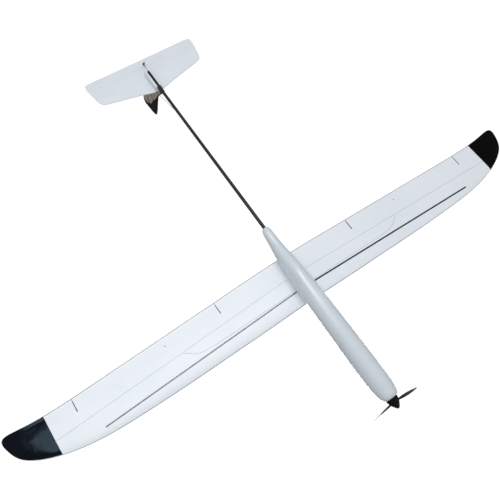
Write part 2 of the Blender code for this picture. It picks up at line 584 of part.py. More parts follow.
def make_pod_drives():
    shafts = {"elevator": ELEVATOR_SERVO_Y - SHAFT_AHEAD, "rudder": RUDDER_SERVO_Y - SHAFT_AHEAD}
    for name, y_center in (("elevator", ELEVATOR_SERVO_Y), ("rudder", RUDDER_SERVO_Y)):
        make_pod_servo(name + "_servo", SERVO_SIDE[name], y_center, shafts[name])
        make_pod_arm(name + "_arm", SERVO_SIDE[name], shafts[name])
    side, front = SERVO_SIDE["elevator"], shafts["elevator"]
    bent_wire("elevator_rod", [(side * ROD_X, front, ARM_Z + 0.0018), (side * ROD_X, front, ROD_Z),
                               (side * ROD_X, ELEVATOR_Y, ROD_Z),
                               (side * (ELEVATOR_HORN_X + 0.0024), ELEVATOR_Y, ROD_Z)], ROD_R, STEEL_LOOK)
    side, front = SERVO_SIDE["rudder"], shafts["rudder"]
    lever, end_y = side * RUDDER_LEVER, axis_y(RUDDER_HORN_Z)
    bent_wire("rudder_rod", [(side * ROD_X, front, ARM_Z + 0.0018), (side * ROD_X, front, ROD_Z),
                             (side * ROD_X, 0.346, ROD_Z), (side * 0.0018, 0.354, 0.0237),
                             (side * 0.0023, 0.366, 0.0277), (lever, end_y, RUDDER_HORN_Z - 0.0011),
                             (lever, end_y + 0.0001, RUDDER_HORN_Z + 0.0022)], ROD_R, STEEL_LOOK)


# ---------------------------------------------------------------- boom and tail
def make_boom():
    boom = rod("boom", (0, BOOM_FRONT, BOOM_Z), (0, BOOM_REAR, BOOM_Z), BOOM_R_FRONT, (CARBON, 0.3), 16,
               BOOM_R_REAR)
    cut(boom, rod("boom_bore", (0, BOOM_FRONT - 0.01, BOOM_Z), (0, BOOM_REAR + 0.01, BOOM_Z), BOOM_BORE,
                  sides=16))
    cut(boom, box("rod_exit", (ROD_EXIT_X[0], ROD_EXIT[0], BOOM_Z + 0.0010),
                  (ROD_EXIT_X[1], ROD_EXIT[1], BOOM_Z + 0.0060)))
    clamp = rod("tail_clamp", (0, CLAMP_Y[0], BOOM_Z), (0, CLAMP_Y[1], BOOM_Z), CLAMP_R, (BLACK, 0.35), 16)
    cut(clamp, rod("clamp_bore", (0, CLAMP_Y[0] - 0.01, BOOM_Z), (0, CLAMP_Y[1] + 0.01, BOOM_Z),
                   BOOM_R_FRONT + 0.0001, sides=16))


def tail_section(le, te, half, count=8):
    """Symmetrical section of a given half thickness."""
    fractions = [0.5 * (1 - math.cos(math.pi * k / count)) for k in range(count + 1)]
    peak = half_thickness(0.30, 1.0)
    sides = []
    for f in fractions:
        value = half * half_thickness(f, 1.0) / peak
        sides.append((le + f * (te - le), max(value, EDGE_HALF if f > 0.05 else 0.0)))
    return sides + [(y, -h) for y, h in sides[:0:-1]]


def stab_rings():
    rings = []
    for x in [-x for x in reversed(STAB_STATIONS)] + STAB_STATIONS[1:]:
        le, te = along(STAB_LE, abs(x)), along(STAB_TE, abs(x))
        rings.append([(x, y, STAB_Z + z) for y, z in tail_section(le, te, STAB_THICKNESS / 2 * (te - le))])
    return rings


def elevator_block(name, lean, front):
    low, high = ELEVATOR_Z - 0.010, ELEVATOR_Z + 0.010
    y = ELEVATOR_Y + front
    leaned = math.tan(lean) * (high - ELEVATOR_Z)
    outline = [(y, low), (y, ELEVATOR_Z), (y + leaned, high), (0.60, high), (0.60, low)]
    return prism(name, outline, lambda u, v, w: (w, u, v), -0.20, 0.20)


def make_tailplane():
    stab = loft("stabiliser", stab_rings(), FILM_LOOK)
    cut(stab, elevator_block("elevator_bay", 0.0, -GAP / 2))
    elevator = loft("elevator", stab_rings(), FILM_LOOK)
    keep(elevator, elevator_block("elevator_cut", ELEVATOR_BEVEL, GAP / 2))

    surface = ELEVATOR_Z - 0.0012
    outline = [(ELEVATOR_Y + 0.0035, surface), (ELEVATOR_Y + 0.0125, surface),
               (ELEVATOR_Y + 0.0125, surface - 0.0012), (ELEVATOR_Y + 0.0080, surface - 0.0030),
               (ELEVATOR_Y + 0.0026, ROD_Z + 0.0006), (ELEVATOR_Y + 0.0018, ROD_Z - 0.0018),
               (ELEVATOR_Y - 0.0018, ROD_Z - 0.0018), (ELEVATOR_Y - 0.0020, ROD_Z + 0.0016)]
    low, side = ELEVATOR_HORN_X, SERVO_SIDE["elevator"]
    horn = prism("elevator_horn", outline, lambda u, v, w: (side * w, u, v), low, low + HORN_SHEET, HORN_LOOK)
    cut(horn, rod("elevator_horn_eye", (side * (low - 0.005), ELEVATOR_Y, ROD_Z),
                  (side * (low + 0.005), ELEVATOR_Y, ROD_Z), 0.0012))


def make_pylon():
    """Moulded saddle between the boom and the tailplane, open along its underside."""
    low, high = PYLON_Z
    half, corner = PYLON_HALF, PYLON_CORNER
    outline = [(-half + corner, low), (half - corner, low), (half, low + corner), (half, high), (-half, high),
               (-half, low + corner)]
    pylon = prism("stab_pylon", outline, lambda u, v, w: (u, w, v), *PYLON_Y, FILM_LOOK)
    cut(pylon, rod("pylon_bore", (0, PYLON_Y[0] - 0.01, BOOM_Z), (0, PYLON_Y[1] + 0.01, BOOM_Z),
                   BOOM_R_FRONT + GAP, sides=24))


def fin_ring(z, te_limit=None):
    le, te = along(FIN_LE, z), along(FIN_TE, z)
    if te_limit:
        te = te_limit
    half = FIN_THICKNESS / 2 * (0.75 + 0.25 * min(1.0, (0.2225 - z) / 0.15))
    return [(h, y, z) for y, h in tail_section(le, te, half)]


def rudder_block(name, front, lean):
    """Wedge-fronted block behind the rudder's hinge axis."""
    rings = []
    for y, z in RUDDER_AXIS:
        run = (RUDDER_AXIS[1][0] - RUDDER_AXIS[0][0]) / (RUDDER_AXIS[1][1] - RUDDER_AXIS[0][1])
        z_end = z - 0.02 if z < 0.1 else z + 0.02
        y_end = y + run * (z_end - z) + front
        back = math.tan(lean) * 0.010
        rings.append([(0, y_end, z_end), (-0.010, y_end + back, z_end), (-0.010, 0.62, z_end),
                      (0.010, 0.62, z_end), (0.010, y_end + back, z_end)])
    return loft(name, rings)


def make_fin():
    stab_top = STAB_Z + 0.0026
    rings = [fin_ring(0.0295, 0.4504), fin_ring(stab_top - 0.0004, 0.4504), fin_ring(stab_top)]
    rings += [fin_ring(z) for z in (0.060, 0.073, 0.084, 0.140, 0.1908, 0.205, 0.2134, 0.2185, 0.2222)]
    fin = loft("fin", rings, (BROWN, 0.3))
    cut(fin, rudder_block("rudder_bay", -GAP, 0.0))
    heights = (stab_top, 0.084, 0.140, 0.1908, 0.205, 0.2134, 0.2185, 0.2222)
    rudder = loft("rudder", [fin_ring(z) for z in heights], (BROWN, 0.3))
    keep(rudder, rudder_block("rudder_cut", GAP, RUDDER_BEVEL))
    cut(rudder, box("rudder_foot", (-0.02, 0.50, 0.03), (0.02, 0.62, RUDDER_FOOT)))

    y, z, lever, side = axis_y(RUDDER_HORN_Z), RUDDER_HORN_Z, RUDDER_LEVER, SERVO_SIDE["rudder"]
    outline = [(0.0023, y + 0.0040), (0.0023, y + 0.0110), (0.0037, y + 0.0110), (lever + 0.0016, y + 0.0018),
               (lever + 0.0022, y), (lever + 0.0014, y - 0.0018), (lever - 0.0016, y - 0.0018)]
    horn = prism("rudder_horn", outline, lambda u, v, w: (side * u, v, w), z, z + 0.0010, HORN_LOOK)
    cut(horn, rod("rudder_horn_eye", (side * lever, y, z - 0.003), (side * lever, y, z + 0.004), 0.0012))


# ---------------------------------------------------------------- motor and propeller
def make_motor():
    profile = [(-0.5471, 0.0090), (-0.5458, 0.0090), (-0.5457, 0.0030), (-0.5436, 0.0030),
               (-0.5435, 0.0082), (-0.5375, 0.0082), (-0.5374, 0.0026), (-0.5360, 0.0026)]
    stator = turned("motor_stator", profile, THRUST_Z, ((0.45, 0.30, 0.18), 0.4, 0.6))
    cut(stator, rod("stator_bore", (0, -0.549, THRUST_Z), (0, -0.534, THRUST_Z), 0.0014, sides=16))
    for k, x in enumerate((-MOTOR_SCREW_X, MOTOR_SCREW_X)):
        cut(stator, rod("stator_screw_hole_%d" % k, (x, -0.549, THRUST_Z), (x, -0.5450, THRUST_Z),
                        MOTOR_SCREW_HOLE_R))
    bell = turned("motor_bell", [(-0.5445, 0.0108), (-0.5345, 0.0108), (-0.5330, 0.0095)], THRUST_Z,
                  ((0.10, 0.10, 0.11), 0.25, 0.9))
    cut(bell, turned("bell_inside", [(-0.5470, 0.0095), (-0.5350, 0.0095)], THRUST_Z))
    cut(bell, rod("bell_bore", (0, -0.540, THRUST_Z), (0, -0.530, THRUST_Z), SHAFT_BORE_R))
    rod("motor_shaft", (0, -0.5680, THRUST_Z), (0, -0.5326, THRUST_Z), SHAFT_R, (STEEL, 0.2, 1.0))


def make_propeller():
    nose = [(SPINNER_BASE_Y, SPINNER_R), (-0.5575, 0.0139), (-0.5626, 0.0124), (-0.5680, 0.0100),
            (-0.5730, 0.0070), (-0.5765, 0.0040), (-0.5783, 0.0016), (SPINNER_TIP_Y, 0.0003)]
    spinner = turned("spinner", nose, THRUST_Z, (BLACK, 0.12))
    inside = [(SPINNER_BASE_Y + 0.002, 0.0137), (-0.5575, 0.0128), (-0.5626, 0.0112), (-0.5680, 0.0087),
              (-0.5720, 0.0060)]
    cut(spinner, turned("spinner_inside", inside, THRUST_Z))
    for sign in (1, -1):
        x = sorted((sign * 0.0060, sign * 0.0200))
        cut(spinner, box("blade_slot_%s" % ("left" if sign > 0 else "right"),
                         (x[0], -0.5680, THRUST_Z - 0.0046), (x[1], -0.5505, THRUST_Z + 0.0046)))
    plate = turned("spinner_backplate", [(-0.5532, 0.0131), (-0.5520, 0.0133)], THRUST_Z, (BLACK, 0.4))
    cut(plate, rod("backplate_bore", (0, -0.556, THRUST_Z), (0, -0.550, THRUST_Z), SHAFT_BORE_R))

    x, y = BLADE_PIN
    half_x, half_y, half_z = YOKE
    yoke = box("prop_yoke", (-half_x, y - half_y, THRUST_Z - half_z), (half_x, y + half_y, THRUST_Z + half_z),
               ((0.30, 0.31, 0.33), 0.35, 1.0))
    weld(yoke, turned("yoke_boss", [(y - 0.0030, 0.0044), (-0.5536, 0.0044)], THRUST_Z))
    cut(yoke, rod("yoke_bore", (0, -0.570, THRUST_Z), (0, -0.550, THRUST_Z), SHAFT_BORE_R))
    for sign, side in ((1, "left"), (-1, "right")):
        ends = sorted((sign * 0.0054, sign * 0.0150))
        cut(yoke, box("lug_slot_" + side, (ends[0], y - 0.006, THRUST_Z - LUG_SLOT_HALF),
                      (ends[1], y + 0.006, THRUST_Z + LUG_SLOT_HALF)))
        cut(yoke, rod("yoke_eye_" + side, (sign * x, y, THRUST_Z - 0.006), (sign * x, y, THRUST_Z + 0.006),
                      EYE_R))
    for sign, side in ((1, "left"), (-1, "right")):
        make_blade(sign, side)


def make_blade(sign, side):
    """Folding blade; its leading edge is the forward edge for a clockwise turn seen from behind."""
    x0, y0 = BLADE_PIN
    rod("blade_pin_" + side, (sign * x0, y0, THRUST_Z - 0.0040), (sign * x0, y0, THRUST_Z + 0.0040), PIN_R,
        (STEEL, 0.25, 1.0))
    rings = []
    for s, chord, thick, pitch in BLADE:
        angle = math.radians(pitch)
        center = Vector((sign * (x0 + s * math.cos(BLADE_CONE)), y0 - s * math.sin(BLADE_CONE), THRUST_Z))
        wide = Vector((0, math.sin(angle), -sign * math.cos(angle)))
        flat = Vector((0, math.cos(angle), sign * math.sin(angle)))
        ring = []
        for k in range(10):
            turn = 2 * math.pi * k / 10
            ring.append(center + wide * (chord / 2 * math.cos(turn)) + flat * (thick / 2 * math.sin(turn)))
        rings.append(ring)
    blade = loft("blade_" + side, rings, (BLACK, 0.18))
    weld(blade, rod("blade_lug_" + side, (sign * x0, y0, THRUST_Z - LUG_HALF),
                    (sign * x0, y0, THRUST_Z + LUG_HALF), LUG_R, sides=16))
    cut(blade, rod("blade_eye_" + side, (sign * x0, y0, THRUST_Z - 0.004), (sign * x0, y0, THRUST_Z + 0.004),
                   EYE_R))


def main():
    clear_scene()
    make_wing()
    make_wing_bolts()
    for sign, side in ((1, "left"), (-1, "right")):
        make_aileron(sign, side)
        make_aileron_drive(sign, side)
    make_pod()
    make_pod_fittings()
    make_pod_drives()
    make_boom()
    make_tailplane()
    make_pylon()
    make_fin()
    make_motor()
    make_propeller()


main()
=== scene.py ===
"""Electric hand-launch glider of 1.5 m span, seen from below in flight."""
import math

import bmesh
import bpy
import numpy as np
from mathutils import Matrix, Vector


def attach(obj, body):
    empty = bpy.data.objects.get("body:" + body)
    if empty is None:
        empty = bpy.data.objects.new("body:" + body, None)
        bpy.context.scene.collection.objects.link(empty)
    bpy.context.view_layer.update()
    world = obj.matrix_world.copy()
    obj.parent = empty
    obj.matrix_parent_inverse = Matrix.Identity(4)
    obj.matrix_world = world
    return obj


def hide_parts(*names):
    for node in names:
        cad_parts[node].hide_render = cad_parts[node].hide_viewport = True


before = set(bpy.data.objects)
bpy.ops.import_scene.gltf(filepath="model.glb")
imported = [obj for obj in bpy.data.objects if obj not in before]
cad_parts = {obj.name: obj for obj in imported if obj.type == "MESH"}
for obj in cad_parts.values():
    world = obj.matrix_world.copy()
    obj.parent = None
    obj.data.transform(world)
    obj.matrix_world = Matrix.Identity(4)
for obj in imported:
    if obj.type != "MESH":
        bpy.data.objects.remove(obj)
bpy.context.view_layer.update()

# ---------------------------------------------------------------- dimensions of the frame, metres
GAP = 0.0003
EDGE_HALF = 0.0004
HALF_SPAN = 0.7497
WING_Z = 0.062
# Outlines of wing, tailplane and fin: (distance from the middle or height, y). An extra row on the other side
# of the middle keeps a curve level there.
WING_LE = [(-0.150, -0.2696), (0.0, -0.2675), (0.150, -0.2696), (0.205, -0.2696), (0.345, -0.2704),
           (0.490, -0.2678), (0.553, -0.2641), (0.6045, -0.2570), (0.654, -0.2450), (0.685, -0.2334),
           (0.708, -0.2214), (0.726, -0.2080), (0.738, -0.1925), (0.7455, -0.1745), (0.7490, -0.1630),
           (HALF_SPAN, -0.1585)]
WING_TE = [(-0.205, -0.1404), (0.0, -0.1357), (0.205, -0.1404), (0.400, -0.1458), (0.500, -0.1484),
           (0.590, -0.1506), (0.654, -0.1502), (0.690, -0.1478), (0.715, -0.1449), (0.730, -0.1434),
           (0.7400, -0.1437), (0.7465, -0.1465), (0.7491, -0.1503), (HALF_SPAN, -0.1540)]
WING_THICKNESS, WING_CAMBER, CAMBER_PEAK = 0.080, 0.018, 0.4
TIP_START = 0.654
SPAR_ROOT, SPAR_END = (0.019, -0.2305), (0.5528, -0.2462)
SPAR_WIDTH = 0.0048
SPAR_TRIM = {"left": 0.0014, "right": 0.0006}       # how much of the strip's width the skin covers
SPAR_PROUD = 0.00012
SEAM_ROOT, SEAM_END = (0.0235, -0.1912), (0.6530, -0.2122)
SEAM_WIDTH, LEAD_WIDTH, SEAM_PROUD = 0.0010, 0.0011, 0.00006
LEAD_PATH = [(0.330, -0.2035), (0.322, -0.2085), (0.311, -0.2180), (0.297, -0.2240), (0.281, -0.2270),
             (0.249, -0.2286), (0.190, -0.2283), (0.129, -0.2280), (0.070, -0.2275), (0.017, -0.2270)]
# The trailing-edge lines are painted shade: thin dark grey strips where the edge falls in shade.
EDGE_SHADE_LINE_WIDTH, EDGE_SHADE_LINE_INSET, EDGE_SHADE_LINE_PROUD = 0.0012, 0.0008, 0.00005
AILERON_IN, AILERON_OUT = (0.2049, -0.1723), (0.5883, -0.1835)
AILERON_Z = 0.0611
AILERON_END_GAP = 0.0010
AILERON_LEAN = math.radians(23)
END_CAP = 0.00130
LEVER_X = 0.3560
SERVO_Y, SERVO_Z = -0.2000, 0.0645
SERVO_FACE_X = LEVER_X - 0.0045
POCKET_FLOOR_Z, POCKET_TOP_Z = SERVO_Z - 0.0037, 0.075
# inboard and outboard end, and the reach in front of and behind SERVO_Y
POCKETS = [(SERVO_FACE_X - 0.0183, SERVO_FACE_X + 0.0003, 0.0153, 0.0053),
           (SERVO_FACE_X, LEVER_X + 0.0002, 0.0075, 0.0075)]

THRUST_Z = 0.0215
# y, half width, half height and height of the middle
POD = [(-0.5512, 0.0158, 0.0152, 0.0215), (-0.5485, 0.0190, 0.0178, 0.0215),
       (-0.5410, 0.0226, 0.0208, 0.0216), (-0.5300, 0.0247, 0.0228, 0.0230),
       (-0.5080, 0.0265, 0.0250, 0.0250), (-0.4770, 0.0270, 0.0265, 0.0265),
       (-0.4060, 0.0267, 0.0275, 0.0275), (-0.3300, 0.0253, 0.0282, 0.0282),
       (-0.2820, 0.0244, 0.0292, 0.0292), (-0.2370, 0.0238, 0.0305, 0.0305),
       (-0.2000, 0.0220, 0.0305, 0.0305), (-0.1600, 0.0194, 0.0282, 0.0328),
       (-0.1300, 0.0167, 0.0215, 0.0335), (-0.0950, 0.0135, 0.0150, 0.0285),
       (-0.0680, 0.0112, 0.0115, 0.0245), (-0.0610, 0.0088, 0.0090, 0.0235),
       (-0.0585, 0.0060, 0.0060, 0.0234)]
POD_WALL = 0.0011
POD_INSIDE = (-0.5493, -0.0640)
POD_BODY = (-0.5232, -0.075)
POD_NOSE_LENGTH, POD_TAIL_LENGTH = 0.028, 0.0165    # the stretches with closer rings
NOSE_HOLE_R, NOSE_HOLE_Y = 0.0125, (-0.556, -0.545)
BOOM_HOLE_Y = (-0.070, -0.050)
HATCH_FRONT, HATCH_REAR, HATCH_SILL = -0.495, -0.292, 0.0400

BOOM_Z, BOOM_R_FRONT, BOOM_R_REAR, BOOM_BORE = 0.0234, 0.0045, 0.0041, 0.0034
BOOM_FRONT, BOOM_REAR = -0.125, 0.510
BOOM_END_ROUND = 0.0003
ROD_SLOT = ((0.0006, 0.354, BOOM_Z + 0.0010), (0.0038, 0.380, BOOM_Z + 0.0060))
CLAMP = [(0.4290, 0.0050), (0.4296, 0.0055), (0.4305, 0.0057), (0.4475, 0.0057),
         (0.4484, 0.0055), (0.4490, 0.0050), (0.4490, 0.0046), (0.4290, 0.0046)]
STAB_Z = 0.0414
STAB_LE = [(-0.05, 0.4625), (0.0, 0.4509), (0.050, 0.4625), (0.100, 0.4742), (0.1450, 0.4848),
           (0.1550, 0.4895), (0.1605, 0.4985), (0.1640, 0.5110), (0.1680, 0.5360), (0.1705, 0.5480)]
STAB_TE = [(-0.05, 0.5708), (0.0, 0.5708), (0.100, 0.5708), (0.1580, 0.5708), (0.1655, 0.5695),
           (0.1695, 0.5655), (0.1705, 0.5590)]
STAB_THICKNESS = 0.036
STAB_REACH, ELEVATOR_REACH = 0.1686, 0.1703
ELEVATOR_LEAN = math.radians(18)
ELEVATOR_ROWS = (0.0, 0.04, 0.14, 0.27, 0.40, 0.55, 0.70, 0.85, 1.0)
ELEVATOR_Y, ELEVATOR_Z = 0.5430, 0.0407
FIN_LE = [(0.0295, 0.4290), (0.0440, 0.4402), (0.0730, 0.4600), (0.0840, 0.4650), (0.1400, 0.4790),
          (0.1908, 0.4921), (0.2050, 0.5000), (0.2134, 0.5108), (0.2185, 0.5400), (0.2221, 0.5640)]
FIN_TE = [(0.0445, 0.5750), (0.0600, 0.5765), (0.2100, 0.5786), (0.2185, 0.5780), (0.2221, 0.5750)]
FIN_THICKNESS = 0.0046
FIN_FOOT_Y = 0.4504
FIN_FOOT_ROWS = (0.0295, 0.0340, 0.0390)
STAB_TOP_Z = STAB_Z + 0.0026
FIN_TOP_Z = 0.2220
# height, and how far the black paint reaches behind the leading edge there
FIN_BLACK = [(0.040, 0.0030), (0.085, 0.0050), (0.116, 0.0140), (0.144, 0.0260), (0.186, 0.0420),
             (0.198, 0.0750), (0.204, 0.1200)]
RUDDER_BLACK_Z = 0.200
RUDDER_FOOT = 0.0560
RUDDER_AXIS = ((0.5400, 0.0500), (0.5500, 0.2200))
RUDDER_LEAN = math.radians(25)

SPINNER_BASE_Y, SPINNER_TIP_Y, SPINNER_R = -0.5518, -0.5787, 0.0147
SPINNER_OUTER = [(SPINNER_BASE_Y, SPINNER_R), (-0.5575, 0.0139), (-0.5626, 0.0124), (-0.5680, 0.0100),
                 (-0.5730, 0.0070), (-0.5765, 0.0041), (-0.5781, 0.0020), (SPINNER_TIP_Y, 0.0001)]
SPINNER_INNER = [(-0.5725, 0.0052), (-0.5680, 0.0087), (-0.5626, 0.0112), (-0.5575, 0.0128),
                 (SPINNER_BASE_Y, 0.0137)]
SPINNER_INNER_TIP = (-0.5735, 0.0001)
SPINNER_SLOT_X, SPINNER_SLOT_Y, SPINNER_SLOT_HALF = (0.0060, 0.0200), (-0.5680, -0.5495), 0.0046
BLADE_PIN = (0.0090, -0.5626)
BLADE_CONE = math.radians(5)
# distance from the pin, chord, thickness, pitch in degrees
BLADE = [(0.0024, 0.0042, 0.0024, 90), (0.0040, 0.0043, 0.0025, 84), (0.0058, 0.0047, 0.0024, 74),
         (0.0080, 0.0058, 0.0023, 56), (0.0120, 0.0085, 0.0019, 38), (0.0200, 0.0132, 0.0016, 26),
         (0.0300, 0.0158, 0.0013, 20), (0.0410, 0.0148, 0.0010, 16), (0.0490, 0.0110, 0.0008, 14),
         (0.0530, 0.0070, 0.0006, 13.3), (0.0548, 0.0030, 0.0004, 13)]
BLADE_ARCH, ARCH_FROM = 0.25, 0.016                 # the arch grows from the pin to ARCH_FROM
BLADE_SIDES, LUG_SIDES = 24, 28
# radius and height of the ring round the pin
LUG = [(0.0013, -0.0014), (0.0027, -0.0014), (0.0030, -0.0011), (0.0030, 0.0011), (0.0027, 0.0014),
       (0.0013, 0.0014)]

SIDES = ((1, "left"), (-1, "right"))
SHARP = 32.0                                        # degrees past which an edge stays sharp
FLOOR_Z, FLOOR_HALF = -3.0, 60.0
LENS_MM, SENSOR_MM = 36.26, 36.0
CAMERA_PLACE = (0.3875, -0.4120, -1.1222)
CAMERA_RIGHT = (-0.82155, -0.56565, -0.07138)
CAMERA_UP = (-0.50616, 0.78125, -0.36532)
CAMERA_BACK = (0.26241, -0.26400, -0.92814)


# ---------------------------------------------------------------- curves
def spline(points, steps=16):
    """Dense polyline of a centripetal Catmull-Rom curve through the points."""
    p = [np.array(q, float) for q in points]
    p = [2 * p[0] - p[1]] + p + [2 * p[-1] - p[-2]]
    out = []
    for i in range(1, len(p) - 2):
        quad = p[i - 1:i + 3]
        knots = [0.0]
        for a, b in zip(quad, quad[1:]):
            knots.append(knots[-1] + max(1e-9, np.linalg.norm(b - a)) ** 0.5)
        for t in np.linspace(knots[1], knots[2], steps, endpoint=False):
            row = list(quad)
            for level in (1, 2, 3):
                row = [((knots[j + level] - t) * row[j] + (t - knots[j]) * row[j + 1])
                       / (knots[j + level] - knots[j]) for j in range(len(row) - 1)]
            out.append(row[0])
    out.append(p[-2])
    return np.array(out)


def smooth(table):
    """Smooth single-valued function through a table of (x, value, ...) rows."""
    dense = spline(table)
    return lambda x, k=1: float(np.interp(x, dense[:, 0], dense[:, k]))


def bunched(start, end, steps):
    """Values from start to end, closer together near the end."""
    return [start + (end - start) * math.sin(math.pi / 2 * k / steps) for k in range(steps + 1)]


def both_sides(limit, count):
    half = bunched(0.0, limit, count)
    return [-x for x in half[:0:-1]] + half


wing_le, wing_te = smooth(WING_LE), smooth(WING_TE)
stab_le, stab_te = smooth(STAB_LE), smooth(STAB_TE)
fin_le, fin_te, black_width = smooth(FIN_LE), smooth(FIN_TE), smooth(FIN_BLACK)
pod_at = smooth(POD)


def half_thickness(f, thickness):
    """Half the thickness of a four-digit section at the fraction f of its chord."""
    shape = 0.2969 * math.sqrt(max(f, 0.0)) - 0.1260 * f - 0.3516 * f ** 2 + 0.2843 * f ** 3 - 0.1036 * f ** 4
    return 5 * thickness * shape


def camber_line(f, camber):
    if f < CAMBER_PEAK:
        return camber / CAMBER_PEAK ** 2 * (2 * CAMBER_PEAK * f - f ** 2)
    return camber / (1 - CAMBER_PEAK) ** 2 * (1 - 2 * CAMBER_PEAK + 2 * CAMBER_PEAK * f - f ** 2)


def wing_z(x, y, side):
    """Height of the wing's upper (+1) or lower (-1) surface."""
    front, rear = wing_le(abs(x)), wing_te(abs(x))
    f = min(max((y - front) / (rear - front), 0.0), 1.0)
    half = half_thickness(f, WING_THICKNESS) * (rear - front)
    if f > 0.05:
        half = max(half, EDGE_HALF)
    return WING_Z + camber_line(f, WING_CAMBER) * (rear - front) + side * half


def hinge_y(x):
    """The aileron's hinge line, carried on to the tip."""
    slope = (AILERON_OUT[1] - AILERON_IN[1]) / (AILERON_OUT[0] - AILERON_IN[0])
    return AILERON_IN[1] + slope * (abs(x) - AILERON_IN[0])


# ---------------------------------------------------------------- meshes
def finish_mesh(name, bm, sharp=SHARP):
    bmesh.ops.remove_doubles(bm, verts=bm.verts, dist=2e-6)
    bmesh.ops.dissolve_degenerate(bm, edges=bm.edges, dist=1e-6)
    bmesh.ops.recalc_face_normals(bm, faces=bm.faces)
    mesh = bpy.data.meshes.new(name)
    bm.to_mesh(mesh)
    bm.free()
    mesh.shade_smooth()
    mesh.set_sharp_from_angle(angle=math.radians(sharp))
    obj = bpy.data.objects.new(name, mesh)
    bpy.context.scene.collection.objects.link(obj)
    return obj


def skin(name, rings, sharp=SHARP, mat_of=None):
    """Closed skin over rings of equally many points. mat_of(ring, point) gives a face's material index."""
    bm = bmesh.new()
    grid = [[bm.verts.new(Vector(p)) for p in ring] for ring in rings]
    count = len(grid[0])
    for i in range(len(grid) - 1):
        for k in range(count):
            n = (k + 1) % count
            face = bm.faces.new((grid[i][k], grid[i][n], grid[i + 1][n], grid[i + 1][k]))
            if mat_of:
                face.material_index = mat_of(i, k)
    for ring in (grid[0], grid[-1]):
        bm.faces.new(ring)
    return finish_mesh(name, bm, sharp)


def circle(center, direction, radius, sides):
    axis = Vector(direction).normalized()
    side = axis.orthogonal().normalized()
    other = axis.cross(side)
    angles = [2 * math.pi * k / sides for k in range(sides)]
    return [Vector(center) + float(radius) * (side * math.cos(a) + other * math.sin(a)) for a in angles]


def join_rows(bm, rows):
    """Faces between closed rows of vertices, the last row joined to the first."""
    count = len(rows[0])
    for a, b in zip(rows, rows[1:] + rows[:1]):
        for k in range(count):
            n = (k + 1) % count
            bm.faces.new((a[k], a[n], b[n], b[k]))


def lathe(name, profile, z, sides):
    """Round body about a line along Y at height z; an outline of (y, radius), closed on itself."""
    bm = bmesh.new()
    rows = []
    for y, r in profile:
        rows.append([bm.verts.new(v) for v in circle((0, y, z), (0, 1, 0), max(r, 1e-7), sides)])
    join_rows(bm, rows)
    return finish_mesh(name, bm)


def block(name, low, high, edge, segments):
    """Box with rounded edges."""
    bm = bmesh.new()
    bmesh.ops.create_cube(bm, size=1.0)
    for v in bm.verts:
        for i in range(3):
            v.co[i] = low[i] if v.co[i] < 0 else high[i]
    bmesh.ops.bevel(bm, geom=bm.edges, offset=edge, segments=segments, affect='EDGES', profile=0.5)
    return finish_mesh(name, bm, 50.0)


def apply_modifiers(obj):
    graph = bpy.context.evaluated_depsgraph_get()
    made = bpy.data.meshes.new_from_object(obj.evaluated_get(graph))
    obj.modifiers.clear()
    obj.data = made
    made.shade_smooth()
    made.set_sharp_from_angle(angle=math.radians(SHARP))


def carve(obj, *tools, operation='DIFFERENCE'):
    """Boolean with throw-away tools."""
    for tool in tools:
        mod = obj.modifiers.new("carve", 'BOOLEAN')
        mod.operation, mod.solver, mod.object = operation, 'EXACT', tool
    apply_modifiers(obj)
    for tool in tools:
        bpy.data.objects.remove(tool, do_unlink=True)


# ---------------------------------------------------------------- materials
def open_tree(mat):
    """The material's node tree, its shader and a coordinate node."""
    mat.use_nodes = True
    tree = mat.node_tree
    return tree, tree.nodes["Principled BSDF"], tree.nodes.new("ShaderNodeTexCoord")


def node(tree, kind, **values):
    made = tree.nodes.new("ShaderNode" + kind)
    for key, value in values.items():
        if key in made.inputs:
            made.inputs[key].default_value = value
        else:
            setattr(made, key, value)
    return made


def noise(tree, coord, scale, stretch=(1, 1, 1), detail=3.0):
    mapping = node(tree, "Mapping")
    mapping.inputs["Scale"].default_value = stretch
    tree.links.new(coord.outputs["Object"], mapping.inputs["Vector"])
    made = node(tree, "TexNoise", Scale=scale, Detail=detail)
    tree.links.new(mapping.outputs["Vector"], made.inputs["Vector"])
    return made


def ramp(tree, source, low, high, start=0.3, end=0.7):
    made = node(tree, "ValToRGB")
    made.color_ramp.elements[0].position, made.color_ramp.elements[0].color = start, (*low, 1)
    made.color_ramp.elements[1].position, made.color_ramp.elements[1].color = end, (*high, 1)
    tree.links.new(source, made.inputs["Fac"])
    return made


def surface(name, low, high, scale, rough, bump, bump_scale, metallic=0.0, coat=0.0, coat_rough=0.1,
            stretch=(1, 1, 1), bump_stretch=(1, 1, 1), spec=0.5, spec_tint=(1, 1, 1)):
    """Moulded or painted surface: mottled colour between low and high, uneven gloss and fine relief."""
    mat = bpy.data.materials.new(name)
    tree, shader, coord = open_tree(mat)
    tone = ramp(tree, noise(tree, coord, scale, stretch).outputs["Fac"], low, high)
    tree.links.new(tone.outputs["Color"], shader.inputs["Base Color"])
    gloss = node(tree, "MapRange")
    gloss.inputs["To Min"].default_value, gloss.inputs["To Max"].default_value = rough
    tree.links.new(noise(tree, coord, scale * 2.3, stretch).outputs["Fac"], gloss.inputs["Value"])
    tree.links.new(gloss.outputs["Result"], shader.inputs["Roughness"])
    if bump:
        relief = node(tree, "Bump", Strength=1.0, Distance=bump)
        tree.links.new(noise(tree, coord, bump_scale, bump_stretch).outputs["Fac"], relief.inputs["Height"])
        tree.links.new(relief.outputs["Normal"], shader.inputs["Normal"])
    shader.inputs["Metallic"].default_value = metallic
    shader.inputs["Coat Weight"].default_value = coat
    shader.inputs["Coat Roughness"].default_value = coat_rough
    shader.inputs["Specular IOR Level"].default_value = spec
    shader.inputs["Specular Tint"].default_value = (*spec_tint, 1)
    return mat


